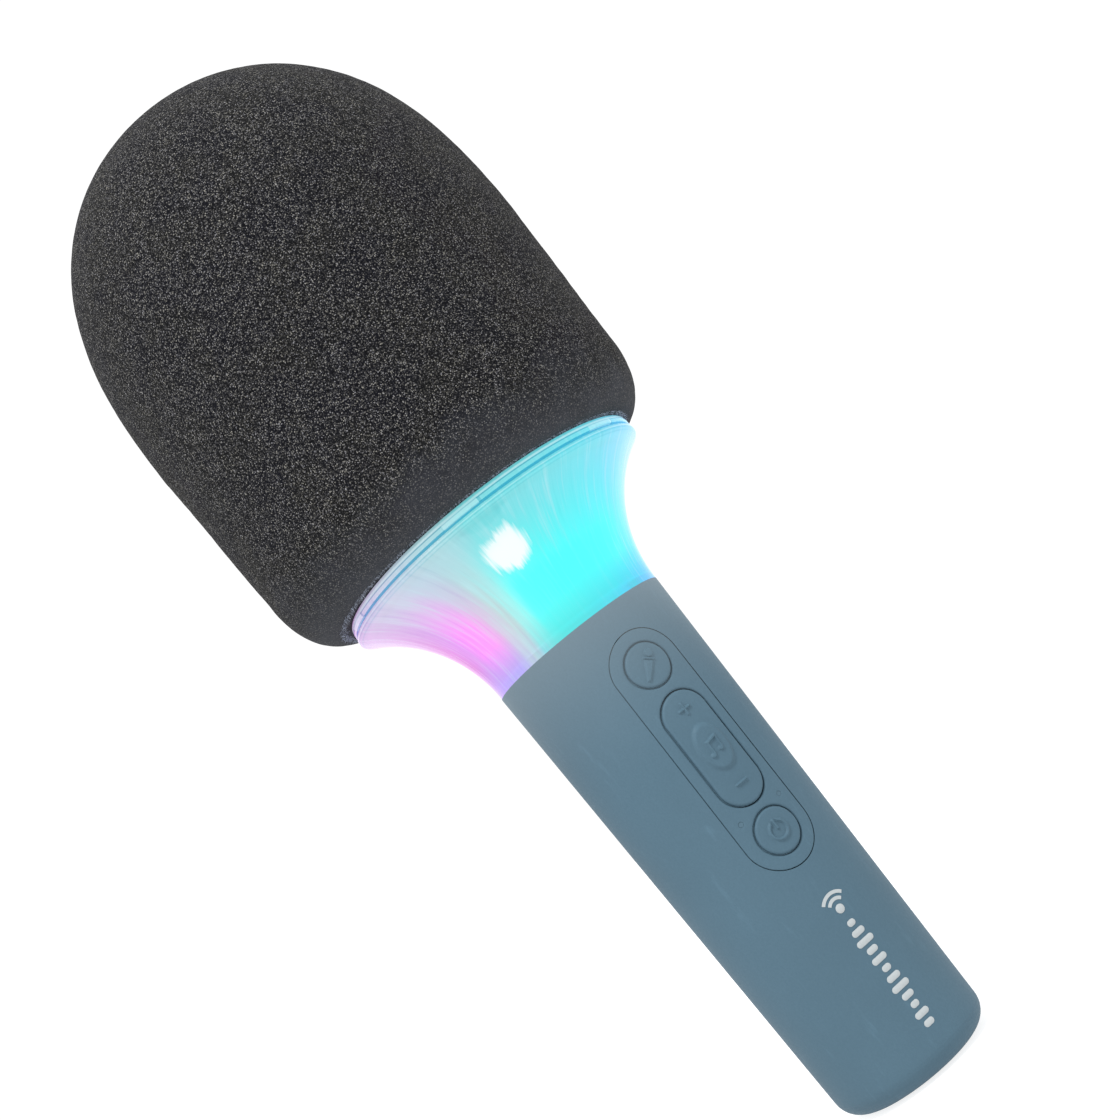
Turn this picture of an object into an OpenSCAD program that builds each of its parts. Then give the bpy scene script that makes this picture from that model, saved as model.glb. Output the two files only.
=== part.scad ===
// Toy karaoke microphone: tapered handle with a keypad, a flared light cone and a foam windscreen.
// The microphone stands upright on its base, +Z up, with the keypad on -Y. Millimetres.

/* [Handle] */
// Height of the handle, from the base to the light cone
handle_len = 101; // [98:1:105]
// Outer radius where the handle meets the light cone
handle_top_r = 19; // [18.8:0.1:20]
// Outer radius of the taper, carried down to the base
handle_base_r = 16.3; // [16.2:0.1:17]
// Thickness of the handle's wall
handle_wall = 2; // [1.8:0.1:2.1]
// Radius of the rounded bottom edge
base_corner_r = 4.5; // [3:0.5:4.5]
// Radius of the rubber pad under the base
pad_r = 11.3; // [10.8:0.1:11.3]

/* [Keypad] */
// Width of the keypad bezel
bezel_w = 14.2; // [14:0.2:15]
// Height of the effect button's centre
effect_z = 87.8; // [87:0.1:88]
// Height of the power button's centre
power_z = 50.4; // [50:0.1:51]
// Height of the volume rocker's centre
rocker_z = 69; // [68.4:0.1:69.2]
// Diameter of the two round buttons
key_d = 8.6; // [8:0.1:9]
// Width of the volume rocker
rocker_w = 9.3; // [9:0.1:9.6]
// Length of the volume rocker
rocker_len = 24.2; // [24:0.2:25]
// Gap round every key
key_gap = 0.25; // [0.2:0.05:0.3]
// How far a key travels
key_travel = 0.5; // [0.4:0.1:0.5]

/* [Light cone] */
// Radius of the concave flare
flare_r = 28; // [27.5:0.1:28.2]
// Height of the flare, from the handle to the lip
flare_h = 24.6; // [24.2:0.1:24.8]
// Thickness of the clear wall
cone_wall = 2.2; // [2:0.1:2.2]
// Thickness of the milky diffuser
diffuser_wall = 1.4; // [1:0.1:1.4]
// Number of light packages on the ring board
led_count = 12; // [6:1:12]

/* [Head] */
// Largest radius of the foam windscreen
foam_r = 44; // [43.5:0.1:45]
// Height of the foam's tip above the base
foam_top = 236.5; // [236:0.5:240]
// Height of the foam's widest ring above the base
foam_wide_z = 176; // [174:1:178]
// Radius of the foam just above its rolled lip
foam_low_r = 42.5; // [42.2:0.1:43]
// Fullness of the domes of the foam and the basket, 2 for an ellipse
dome_power = 2.8; // [2.4:0.1:3]
// Radius of the basket at its foot
basket_r = 31; // [30.6:0.1:31]
// Height of the basket's top above the base
basket_top = 224; // [222:1:225]
// Number of pairs of opposite ribs in the basket
rib_pairs = 3; // [2:1:4]

/* [Works] */
// Diameter of the rechargeable cell
cell_d = 18.3; // [18:0.1:18.4]
// Length of the rechargeable cell
cell_len = 65; // [64:0.5:65]
// Radius of the speaker's diaphragm
diaphragm_r = 20.4; // [20:0.1:20.5]
// Radius of the microphone capsule
capsule_r = 4.85; // [4.5:0.05:4.85]

/* [Hidden] */
$fn = 96;
eps = 0.5;

slate = [0.38, 0.47, 0.53];
slate_key = [0.36, 0.45, 0.51];
charcoal = [0.16, 0.16, 0.17];
clear_tint = [0.62, 0.93, 0.97, 0.45];
milky = [0.45, 0.95, 1.0];
board_green = [0.08, 0.32, 0.20];
steel = [0.72, 0.73, 0.75];
black_part = [0.06, 0.06, 0.07];

// Handle shell and base pad
shell_z = 0.3;
floor_top = 3.8;
recess_top = 1.5;
recess_gap = 0.1;
base_flat_r = handle_r(base_corner_r) - base_corner_r;
base_screw_x = 6.2;
base_screw_y = -6.2;

// Keypad
bezel_half_w = bezel_w / 2;
bezel_seam = 0.15;
bezel_back = -3.1;
bezel_flange_w = 1.1;
keypad_mid_z = (effect_z + power_z) / 2;
keypad_len = effect_z - power_z + bezel_w;
key_r = key_d / 2;
key_proud = 0.25;
key_back = -1.8;
flange_r = key_r + 0.8;
flange_t = 0.8;
stem_r = 1.6;
light_x = 4.8;
light_z = 55.2;
light_r = 0.45;
pivot_y = -14.2;
pivot_r = 0.8;
pivot_gap = 0.05;
volume_key_dz = 8.2;

// Button board
board_t = 1.2;
board_front_y = -8.6;
board_back_y = board_front_y + board_t;
board_w = 15;
button_board_z = [43.5, 92.5];
switch_body = 4.6;
switch_body_t = 2;
switch_top_y = -11.6;
stem_clear = 0.1;
swing_clear = 0.4;
stem_end_y = switch_top_y - key_travel - stem_clear;
volume_post_end_y = switch_top_y - key_travel - swing_clear;

// Cell and chassis
cell_y = 3;
cell_z = 7.6;
cell_top = cell_z + cell_len;
trough_gap = 0.3;
trough_wall = 1.6;
trough_inner = cell_d / 2 + trough_gap;
trough_outer = trough_inner + trough_wall;
trough_front_y = -5.8;
chassis_floor_t = 2;
rail_z = 43.5;
stop_z = cell_top + 0.8;
stop_t = 1.6;
chassis_ring_z = 93.3;
chassis_ring_t = 2.6;
chassis_ring_top = chassis_ring_z + chassis_ring_t;

// Main board and charging port
main_x = [-2.83, -1.63];
main_y = [-5, 15.9];
main_z = [76, 92.8];
port_z = 84.5;
port_w = 8.94;
port_h = 3.26;
port_mouth_y = 18.2;
port_depth = 7.3;
port_metal = 0.3;
port_slot_gap = 0.2;

// Light cone
neck_z = handle_len;
flare_x = handle_top_r + flare_r;
lip_z = neck_z + flare_h;
cone_top = lip_z + 1.3;
lip_r = 34;
cone_floor_t = 2;
cone_floor_top = neck_z + cone_floor_t;
cone_bore_r = 9;
spigot_r = 16.55;
spigot_wall = 2;
diffuser_gap = 0.3;
diffuser_top = lip_z + 0.4;
neck_screw_r = 12;
neck_screw_angles = [90, 210, 330];
led_board_z = 104.6;
led_board_r = 15;
led_ring_r = 12.2;

// Clamp ring, baffle and speaker
ring_groove = 0.25;
ring_z = cone_top + ring_groove;
ring_top = 129.4;
ring_inner = 31.6;
baffle_top = 128.6;
baffle_r = 31.3;
baffle_foot_r = 29.5;
baffle_hole_r = 23.8;
baffle_screw_r = 27.4;
speaker_plate_z = 117.5;
speaker_flange_r = 25.5;
magnet_z = 110.5;
magnet_r = 12.5;
magnet_bore_r = 6.9;
pole_r = 5.8;
coil_r = 6.5;
coil_wall = 0.3;
cone_foot_z = 120.6;
cone_rim_z = 128.4;

// Basket, capsule and windscreen
basket_shoulder_z = 178;
basket_shoulder_r = 30;
basket_wall = 2;
basket_clear = 0.6;
basket_cap_z = 212;
basket_ring_h = 2.4;
basket_ring_z = [baffle_top, 175.6];
rib_w = 3.5;
rib_t = 1.8;
rib_sag = 0.1;
boot_r = 8;
capsule_z = 216.3;
capsule_len = 6.5;
cable_r = 0.9;
cable_bend = 6;
cable_run_z = 188;
cable_y = 26.6;
connector_h = 4.5;
foam_z = 129.5;
foam_lip_w = 7.5;
foam_lip_h = 13.4;

// Outer radius of the handle at a height
function handle_r(z) = handle_base_r + (handle_top_r - handle_base_r) * z / handle_len;

// Points on an arc in the half-plane of a turned part
function arc(x, z, r, from, to, steps) =
    [for (i = [0:steps]) let (a = from + (to - from) * i / steps) [x + r * cos(a), z + r * sin(a)]];

// Points on a dome, from its foot at radius r to its tip on the axis
function dome(r, z, height, steps) =
    [for (i = [0:steps]) let (a = 90 * i / steps)
        [r * cos(a), z + height * pow(sin(a), 2 / dome_power)]];

function reversed(list) = [for (i = [len(list) - 1:-1:0]) list[i]];

// Angle on the flare, at a wall offset, that reaches a height above the neck
function flare_angle(offset_r, height) = asin(height / (flare_r + offset_r));

// The flare's curve at a wall offset, between two heights above the neck
function flare(offset_r, low, high, steps) =
    arc(flare_x, neck_z, flare_r + offset_r, 180 - flare_angle(offset_r, low),
        180 - flare_angle(offset_r, high), steps);

// Outer radius of the basket's straight side at a height
function basket_side_r(z) = basket_r
    + (basket_shoulder_r - basket_r) * (z - baffle_top) / (basket_shoulder_z - baffle_top);

// Basket outline grown by a clearance, from foot to tip
function basket_line(foot_z, grow) = concat(
    [[basket_r + grow, foot_z]],
    dome(basket_shoulder_r + grow, basket_shoulder_z, basket_top + grow - basket_shoulder_z, 14));

// The handle's taper as a solid cone, grown or shrunk by an offset
module taper(offset_r, low, high) {
    translate([0, 0, low])
        cylinder(h = high - low, r1 = handle_r(low) + offset_r, r2 = handle_r(high) + offset_r);
}

// A layer of the handle's wall between two offsets
module taper_layer(outer, inner, low, high) {
    difference() {
        taper(outer, low, high);
        taper(inner, low - eps, high + eps);
    }
}

// A flat outline in X and Z, extruded forward along -Y from a plane
module forward(y, z, depth) {
    translate([0, y, z])
        rotate([90, 0, 0])
            linear_extrude(depth)
                children();
}

// A slot outline with round ends, long along Z
module slot(half_w, length) {
    straight = length / 2 - half_w;
    translate([-half_w, -straight])
        square([2 * half_w, 2 * straight]);
    for (side = [-1, 1])
        translate([0, side * straight])
            circle(half_w);
}

// A plain rod along +Y
module rod_y(x, y, z, r, length) {
    translate([x, y, z])
        rotate([-90, 0, 0])
            cylinder(h = length, r = r);
}

// A block given by its low corner and its high corner
module block(low, high) {
    translate(low)
        cube(high - low);
}

// A pan-head screw, head down on z = 0 and shank along +Z
module screw(head_r, head_t, shank_r, length) {
    difference() {
        cylinder(h = head_t, r = head_r);
        for (turn = [0, 90])
            rotate([0, 0, turn])
                translate([-head_r * 0.6, -0.3, -eps])
                    cube([head_r * 1.2, 0.6, eps + head_t / 2]);
    }
    translate([0, 0, head_t])
        cylinder(h = length, r = shank_r);
}

module handle_shell() {
    color(slate)
    difference() {
        rotate_extrude()
            polygon(concat(
                [[0, shell_z]],
                arc(base_flat_r, shell_z + base_corner_r, base_corner_r, -90, 0, 10),
                [[handle_top_r, handle_len], [0, handle_len]]));
        taper(-handle_wall, floor_top, handle_len + eps);
        translate([0, 0, -eps])
            cylinder(h = recess_top + eps, r = pad_r + recess_gap);
        for (side = [-1, 1])
            translate([side * base_screw_x, base_screw_y, 0]) {
                cylinder(h = 3, r = 2.3);
                cylinder(h = floor_top + eps, r = 1.3);
            }
        forward(0, keypad_mid_z, 2 * handle_top_r)
            slot(bezel_half_w + bezel_seam, keypad_len + 2 * bezel_seam);
        forward(2 * handle_top_r, port_z, 2 * handle_top_r)
            slot(port_h / 2 + port_slot_gap, port_w + 2 * port_slot_gap);
    }
}

module base_pad() {
    edge = 0.5;
    color(black_part)
    rotate_extrude()
        polygon(concat(
            [[0, 0]],
            arc(pad_r - edge, edge, edge, -90, 0, 5),
            [[pad_r, recess_top], [0, recess_top]]));
}

module base_screws() {
    color(steel)
    for (side = [-1, 1])
        translate([side * base_screw_x, base_screw_y, 1.6])
            screw(2.1, 1.3, 1.1, 4.2);
}

module chassis() {
    color(charcoal)
    difference() {
        union() {
            // floor, trough round the cell and its end stop
            taper(-handle_wall - 0.4, floor_top, floor_top + chassis_floor_t);
            for (side = [-1, 1])
                translate([side * base_screw_x, base_screw_y, floor_top])
                    cylinder(h = 3.5, r = 2.2);
            translate([0, cell_y, floor_top])
                cylinder(h = stop_z + stop_t - floor_top, r = trough_outer);
            // rails that carry the button board
            for (side = [-1, 1])
                mirror([side < 0 ? 1 : 0, 0, 0])
                    block([5.2, board_back_y, rail_z], [10.6, -3, stop_z]);
            // posts and ring that carry the light cone
            for (side = [-1, 1])
                translate([side * 10.4 - 1.2, -3, stop_z - 2])
                    cube([2.4, 9, chassis_ring_z - stop_z + 3]);
            translate([0, 0, chassis_ring_z])
                cylinder(h = chassis_ring_t, r = 16);
            for (a = neck_screw_angles)
                rotate([0, 0, a])
                    translate([neck_screw_r, 0, chassis_ring_z])
                        cylinder(h = neck_z - chassis_ring_z, r = 2.3);
        }
        translate([0, cell_y, floor_top + chassis_floor_t])
            cylinder(h = stop_z - floor_top - chassis_floor_t, r = trough_inner);
        block([-20, -20, floor_top + chassis_floor_t + 1.6], [20, trough_front_y, rail_z]);
        block([-20, -20, rail_z - eps], [20, board_back_y, stop_z + 3]);
        block([-3.4, -20, rail_z - eps], [3.4, trough_front_y, stop_z + 3]);
        block([-8.8, -20, chassis_ring_z - eps], [8.8, -12.5, neck_z]);
        translate([0, 0, chassis_ring_z - eps])
            cylinder(h = chassis_ring_t + 2 * eps, r = 9.4);
        for (a = neck_screw_angles)
            rotate([0, 0, a])
                translate([neck_screw_r, 0, chassis_ring_z - eps])
                    cylinder(h = 10, r = 1.25);
        for (side = [-1, 1])
            translate([side * base_screw_x, base_screw_y, floor_top - eps])
                cylinder(h = 5, r = 1.15);
    }
}

module battery_cell() {
    color([0.13, 0.42, 0.62])
    translate([0, cell_y, cell_z]) {
        cylinder(h = cell_len - 0.8, d = cell_d);
        cylinder(h = cell_len, r = 3);
    }
}

module battery_contacts() {
    color(steel) {
        translate([0, cell_y, cell_top])
            cylinder(h = 0.8, r = 4.5);
        translate([0, cell_y, floor_top + chassis_floor_t])
            cylinder(h = 0.4, r = 6);
        for (turn = [0:2])
            translate([0, cell_y, floor_top + chassis_floor_t + 0.6 + 0.45 * turn])
                rotate_extrude()
                    translate([5 - turn, 0])
                        circle(0.25, $fn = 16);
    }
}

module button_board() {
    color(board_green)
    block([-board_w / 2, board_front_y, button_board_z[0]],
          [board_w / 2, board_back_y, button_board_z[1]]);
}

module tact_switches() {
    heights = [effect_z, rocker_z + volume_key_dz, rocker_z, rocker_z - volume_key_dz, power_z];
    for (z = heights) {
        color(black_part)
        translate([-switch_body / 2, board_front_y - switch_body_t, z - switch_body / 2])
            cube([switch_body, switch_body_t, switch_body]);
        color(steel)
        rod_y(0, switch_top_y, z, 1.2, board_front_y - switch_body_t - switch_top_y);
    }
}

module status_leds() {
    color("white")
    for (side = [-1, 1])
        translate([side * light_x - 0.8, board_front_y - 0.6, light_z - 0.5])
            cube([1.6, 0.6, 1]);
}

module status_light_pipes() {
    color([0.9, 0.97, 1.0])
    intersection() {
        taper(-0.05, light_z - 5, light_z + 5);
        for (side = [-1, 1])
            rod_y(side * light_x, -25, light_z, light_r, 25 + board_front_y - 0.8);
    }
}

module keypad_bezel() {
    reach = 30;
    low = keypad_mid_z - reach;
    high = keypad_mid_z + reach;
    color(slate)
    difference() {
        union() {
            intersection() {
                taper_layer(0, bezel_back, low, high);
                forward(0, keypad_mid_z, 2 * handle_top_r)
                    slot(bezel_half_w, keypad_len);
            }
            intersection() {
                taper_layer(-handle_wall - 0.02, bezel_back, low, high);
                forward(0, keypad_mid_z, 2 * handle_top_r)
                    slot(bezel_half_w + bezel_flange_w, keypad_len + 2 * bezel_flange_w);
            }
        }
        for (z = [effect_z, power_z])
            rod_y(0, -30, z, key_r + key_gap, 30);
        forward(0, rocker_z, 30)
            slot(rocker_w / 2 + key_gap, rocker_len + 2 * key_gap);
        for (side = [-1, 1])
            rod_y(side * light_x, -30, light_z, light_r + 0.03, 30);
    }
}

// A round key: a cap that follows the taper, a stop flange behind the bezel and a stem
module round_key(z, flange_y) {
    color(slate_key) {
        intersection() {
            taper_layer(key_proud, key_back, z - 8, z + 8);
            rod_y(0, -30, z, key_r, 30);
        }
        rod_y(0, -handle_r(z) - key_back - 0.8, z, key_r - 0.6, flange_y + handle_r(z) + key_back + 1);
        rod_y(0, flange_y, z, flange_r, flange_t);
        rod_y(0, flange_y, z, stem_r, stem_end_y - flange_y);
    }
}

module effect_button() {
    round_key(effect_z, -14.3);
}

module power_button() {
    round_key(power_z, -13.3);
}

module volume_rocker() {
    low = rocker_z - rocker_len;
    high = rocker_z + rocker_len;
    pad_half_w = 3.2;
    pad_len = 9.4;
    pad_proud = 0.65;
    ear_x = 2.5;
    ear_t = 1;
    color(slate_key)
    difference() {
        union() {
            intersection() {
                taper_layer(key_proud, key_back, low, high);
                forward(0, rocker_z, 2 * handle_top_r)
                    slot(rocker_w / 2, rocker_len);
            }
            intersection() {
                taper_layer(pad_proud, 0, low, high);
                forward(0, rocker_z, 2 * handle_top_r)
                    slot(pad_half_w, pad_len);
            }
            for (side = [-1, 1]) {
                translate([side * (ear_x + ear_t / 2) - ear_t / 2, -16.8, rocker_z - 1.8])
                    cube([ear_t, 3.9, 3.6]);
                rod_y(0, -16.8, rocker_z + side * volume_key_dz, 1.3, 16.8 + volume_post_end_y);
            }
        }
        translate([0, pivot_y, rocker_z])
            rotate([0, 90, 0])
                cylinder(h = 12, r = pivot_r + pivot_gap, center = true);
    }
}

module mode_plunger() {
    color(black_part) {
        translate([0, pivot_y, rocker_z])
            rotate([0, 90, 0])
                cylinder(h = 7.4, r = pivot_r, center = true);
        translate([-2.1, pivot_y - 1.2, rocker_z - 1.3])
            cube([4.2, 2.2, 2.6]);
        rod_y(0, pivot_y, rocker_z, stem_r - 0.3, stem_end_y - pivot_y);
    }
}

module main_board() {
    color(board_green)
    block([main_x[0], main_y[0], main_z[0]], [main_x[1], main_y[1], main_z[1]]);
}

module board_chips() {
    color(black_part) {
        // radio and amplifier packages on both faces
        block([main_x[1], -3.5, 79], [main_x[1] + 1, 2.5, 85]);
        block([main_x[1], 4, 87], [main_x[1] + 1.4, 8, 91]);
        block([main_x[0] - 1, 0, 80], [main_x[0], 5, 85]);
    }
    color(steel) {
        // coil and storage capacitors
        translate([main_x[0] - 2.4, 9.5, 88])
            rotate([0, 90, 0])
                cylinder(h = 2.4, r = 2.4);
        for (y = [-2, 1.4, 4.8])
            translate([main_x[1], y, 77.5])
                rotate([0, 90, 0])
                    cylinder(h = 3, r = 1.2);
    }
}

module board_header() {
    color(black_part)
    block([main_x[0], board_back_y, 79], [main_x[1] + 1.3, main_y[0], 89]);
}

module usb_c_port() {
    shell_y = port_mouth_y - port_depth;
    color(steel)
    difference() {
        forward(port_mouth_y, port_z, port_depth)
            slot(port_h / 2, port_w);
        forward(port_mouth_y + eps, port_z, port_depth + eps - 0.8)
            slot(port_h / 2 - port_metal, port_w - 2 * port_metal);
    }
    color(black_part)
    block([-0.35, shell_y + 0.8, port_z - 3.35], [0.35, port_mouth_y - 0.9, port_z + 3.35]);
}

module light_cone() {
    color(clear_tint) {
        difference() {
            rotate_extrude()
                polygon(concat(
                    [[cone_bore_r, neck_z], [spigot_r - spigot_wall, neck_z],
                     [spigot_r - spigot_wall, chassis_ring_top], [spigot_r, chassis_ring_top],
                     [spigot_r, neck_z]],
                    flare(0, 0, flare_h, 20),
                    [[lip_r, lip_z + 0.6], [lip_r, cone_top]],
                    reversed(flare(cone_wall, cone_floor_t, cone_top - neck_z, 20)),
                    [[cone_bore_r, cone_floor_top]]));
            for (a = neck_screw_angles)
                rotate([0, 0, a])
                    translate([neck_screw_r, 0, neck_z - eps])
                        cylinder(h = cone_floor_t + 2 * eps, r = 1.4);
        }
        for (a = neck_screw_angles)
            rotate([0, 0, a + 60])
                translate([neck_screw_r, 0, cone_floor_top])
                    cylinder(h = led_board_z - cone_floor_top, r = 1.6);
    }
}

module neck_screws() {
    color(steel)
    for (a = neck_screw_angles)
        rotate([0, 0, a])
            translate([neck_screw_r, 0, cone_floor_top + 1.3])
                mirror([0, 0, 1])
                    screw(2.1, 1.3, 1.2, 9);
}

module diffuser() {
    inner = cone_wall + diffuser_gap + diffuser_wall;
    top = diffuser_top - neck_z;
    color(milky)
    rotate_extrude()
        polygon(concat(
            flare(cone_wall + diffuser_gap, cone_floor_t, top, 20),
            reversed(flare(inner, cone_floor_t, top, 20))));
}

module led_board() {
    color([0.92, 0.93, 0.92])
    difference() {
        union() {
            difference() {
                translate([0, 0, led_board_z])
                    cylinder(h = board_t, r = led_board_r);
                translate([0, 0, led_board_z - eps])
                    cylinder(h = board_t + 2 * eps, r = cone_bore_r);
            }
            block([-5, 4.5, led_board_z], [1, 9.5, led_board_z + board_t]);
        }
    }
}

module rgb_leds() {
    color("white")
    for (i = [0:led_count - 1])
        rotate([0, 0, (i + 0.5) * 360 / led_count])
            translate([led_ring_r - 1.4, -1.75, led_board_z + board_t])
                cube([2.8, 3.5, 1.4]);
}

module wire_harness() {
    wire_r = 0.5;
    color([0.75, 0.16, 0.14])
    for (i = [0:2])
        translate([-2.2, 5.6 + 1.2 * i, main_z[1]])
            cylinder(h = led_board_z - main_z[1], r = wire_r);
}

module clamp_ring() {
    edge = 0.8;
    color(clear_tint) {
        rotate_extrude()
            polygon(concat(
                [[ring_inner, cone_top], [ring_inner + 1.1, cone_top], [ring_inner + 1.1, ring_z],
                 [lip_r - 0.1, ring_z]],
                arc(lip_r - 0.1 - edge, ring_top - edge, edge, 0, 90, 6),
                [[ring_inner, ring_top]]));
        // bayonet tabs that bridge the groove
        for (i = [0:5])
            rotate([0, 0, 60 * i + 12])
                rotate_extrude(angle = 7)
                    translate([ring_inner + 1, cone_top])
                        square([1.1, ring_groove + 0.1]);
    }
}

module baffle_plate() {
    color(charcoal)
    difference() {
        union() {
            translate([0, 0, diffuser_top])
                cylinder(h = 1, r = baffle_foot_r);
            translate([0, 0, diffuser_top + 1])
                cylinder(h = baffle_top - diffuser_top - 1, r = baffle_r);
        }
        translate([0, 0, diffuser_top - eps])
            cylinder(h = 5, r = baffle_hole_r);
        for (i = [0:3])
            rotate([0, 0, 90 * i + 45])
                translate([baffle_screw_r, 0, diffuser_top - eps])
                    cylinder(h = 5, r = 1.15);
    }
}

module baffle_screws() {
    color(steel)
    for (i = [0:3])
        rotate([0, 0, 90 * i + 45])
            translate([baffle_screw_r, 0, baffle_top + 1.2])
                mirror([0, 0, 1])
                    screw(1.5, 1.2, 1.1, 2.4);
}

module speaker_frame() {
    flange_t = 1.2;
    color([0.2, 0.2, 0.21])
    difference() {
        rotate_extrude()
            polygon([[magnet_bore_r, speaker_plate_z], [magnet_r + 0.5, speaker_plate_z],
                     [22.3, speaker_plate_z + 5], [23.5, baffle_top],
                     [speaker_flange_r, baffle_top], [speaker_flange_r, baffle_top + flange_t],
                     [22.4, baffle_top + flange_t], [21.3, speaker_plate_z + 6.3],
                     [12.4, speaker_plate_z + 1.5], [magnet_bore_r, speaker_plate_z + 1.5]]);
        // windows in the frame's cone
        for (i = [0:3])
            rotate([0, 0, 90 * i + 25])
                rotate_extrude(angle = 40)
                    translate([14, speaker_plate_z + 3])
                        square([12, 6]);
    }
}

module speaker_magnet() {
    color([0.30, 0.30, 0.32])
    translate([0, 0, magnet_z])
        difference() {
            cylinder(h = speaker_plate_z - magnet_z, r = magnet_r);
            translate([0, 0, -eps])
                cylinder(h = 20, r = magnet_bore_r);
        }
    color(steel) {
        translate([0, 0, magnet_z - 2])
            cylinder(h = 2, r = magnet_r - 0.5);
        translate([0, 0, magnet_z])
            cylinder(h = speaker_plate_z + 1.5 - magnet_z, r = pole_r);
    }
}

module speaker_surround() {
    roll_x = 22;
    roll_r = 1.2;
    foot_z = baffle_top + 1.2;
    color(black_part)
    rotate_extrude()
        polygon(concat(
            [[roll_x + roll_r + 1.6, foot_z], [roll_x + roll_r + 1.6, foot_z + 0.5]],
            arc(roll_x, foot_z, roll_r, 25, 180, 10),
            reversed(arc(roll_x, foot_z, roll_r - 0.5, 0, 180, 10))));
}

module speaker_diaphragm() {
    paper = 0.6;
    cap_r = 7.4;
    color([0.12, 0.12, 0.13])
    rotate_extrude()
        polygon([[coil_r - coil_wall, cone_foot_z - 8], [coil_r, cone_foot_z - 8],
                 [coil_r, cone_foot_z], [diaphragm_r, cone_rim_z], [diaphragm_r, cone_rim_z + 1],
                 [diaphragm_r - paper, cone_rim_z + 1], [diaphragm_r - paper, cone_rim_z + 0.3],
                 [coil_r - coil_wall, cone_foot_z + paper + 0.2]]);
    color(charcoal)
    rotate_extrude()
        polygon(concat(
            arc(0, cone_foot_z - 7.6, 11.6, atan2(9, cap_r), 90, 8),
            [[0, cone_foot_z + 3.3]],
            reversed(arc(0, cone_foot_z - 8.3, 11.6, atan2(9, cap_r), 90, 8))));
}

// The basket's wall as a closed turned shell
module basket_wall_shape() {
    rotate_extrude()
        polygon(concat(
            basket_line(baffle_top, 0),
            reversed(basket_line(baffle_top, -basket_wall))));
}

module basket_rings() {
    color(charcoal)
    for (z = basket_ring_z)
        intersection() {
            basket_wall_shape();
            translate([0, 0, z])
                cylinder(h = basket_ring_h, r = 40);
        }
}

// Straight ribs between the two rings, flat inside and out
module basket_ribs() {
    low = basket_ring_z[0] + basket_ring_h;
    high = basket_ring_z[1];
    low_r = basket_side_r(low) - rib_sag;
    high_r = basket_side_r(high) - rib_sag;
    color(charcoal)
    for (i = [0:2 * rib_pairs - 1])
        rotate([0, 0, 90 + 180 * i / rib_pairs])
            rotate([90, 0, 0])
                translate([0, 0, -rib_w / 2])
                    linear_extrude(rib_w)
                        polygon([[low_r - rib_t, low], [low_r, low],
                                 [high_r, high], [high_r - rib_t, high]]);
}

// Curved ribs that meet in a cap round the capsule's boot
module basket_dome() {
    color(charcoal)
    intersection() {
        basket_wall_shape();
        difference() {
            union() {
                for (i = [0:rib_pairs - 1])
                    rotate([0, 0, 90 + 180 * i / rib_pairs])
                        translate([-40, -rib_w / 2, basket_ring_z[1] + basket_ring_h])
                            cube([80, rib_w, basket_top]);
                translate([0, 0, basket_cap_z])
                    cylinder(h = 20, r = 40);
            }
            cylinder(h = basket_top + eps, r = boot_r + 0.05);
        }
    }
}

module capsule_boot() {
    color(black_part)
    difference() {
        union() {
            translate([0, 0, capsule_z - 0.3])
                cylinder(h = capsule_len + 0.5, r = boot_r);
            translate([0, 0, 218.2])
                cylinder(h = 1.6, r = boot_r + 1.3);
        }
        translate([0, 0, capsule_z - eps])
            cylinder(h = 20, r = capsule_r + 0.02);
    }
}

module mic_capsule() {
    color(steel)
    difference() {
        translate([0, 0, capsule_z])
            cylinder(h = capsule_len, r = capsule_r);
        for (a = [0:60:359])
            rotate([0, 0, a])
                translate([2.4, 0, capsule_z + capsule_len - 0.8])
                    cylinder(h = 2, r = 0.5);
    }
}

module capsule_cable() {
    color(black_part) {
        translate([0, 0, cable_run_z + cable_bend])
            cylinder(h = capsule_z - cable_run_z - cable_bend, r = cable_r);
        translate([0, cable_bend, cable_run_z + cable_bend])
            rotate([0, 90, 0])
                rotate_extrude(angle = -90)
                    translate([cable_bend, 0])
                        circle(cable_r, $fn = 24);
        rod_y(0, cable_bend, cable_run_z, cable_r, cable_y - 2 * cable_bend);
        translate([0, cable_y - cable_bend, cable_run_z - cable_bend])
            rotate([0, -90, 0])
                rotate_extrude(angle = 90)
                    translate([cable_bend, 0])
                        circle(cable_r, $fn = 24);
        translate([0, cable_y, baffle_top + connector_h])
            cylinder(h = cable_run_z - cable_bend - baffle_top - connector_h, r = cable_r);
    }
}

module cable_connector() {
    color([0.9, 0.88, 0.8])
    translate([-2.5, cable_y - 0.9, baffle_top])
        cube([5, 3, connector_h]);
}

module foam_windscreen() {
    lip_x = foam_low_r - foam_lip_w;
    lip = [for (i = [0:8]) let (a = -90 + 90 * i / 8)
        [lip_x + foam_lip_w * cos(a), foam_z + foam_lip_h * (1 + sin(a))]];
    color(charcoal)
    rotate_extrude()
        polygon(concat(
            lip,
            dome(foam_r, foam_wide_z, foam_top - foam_wide_z, 24),
            reversed(basket_line(foam_z, basket_clear))));
}

handle_shell();
base_pad();
base_screws();
chassis();
battery_cell();
battery_contacts();
button_board();
tact_switches();
status_leds();
status_light_pipes();
keypad_bezel();
effect_button();
volume_rocker();
mode_plunger();
power_button();
main_board();
board_chips();
board_header();
usb_c_port();
light_cone();
neck_screws();
diffuser();
led_board();
rgb_leds();
wire_harness();
clamp_ring();
baffle_plate();
baffle_screws();
speaker_frame();
speaker_magnet();
speaker_surround();
speaker_diaphragm();
basket_rings();
basket_ribs();
basket_dome();
capsule_boot();
mic_capsule();
capsule_cable();
cable_connector();
foam_windscreen();
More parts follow.
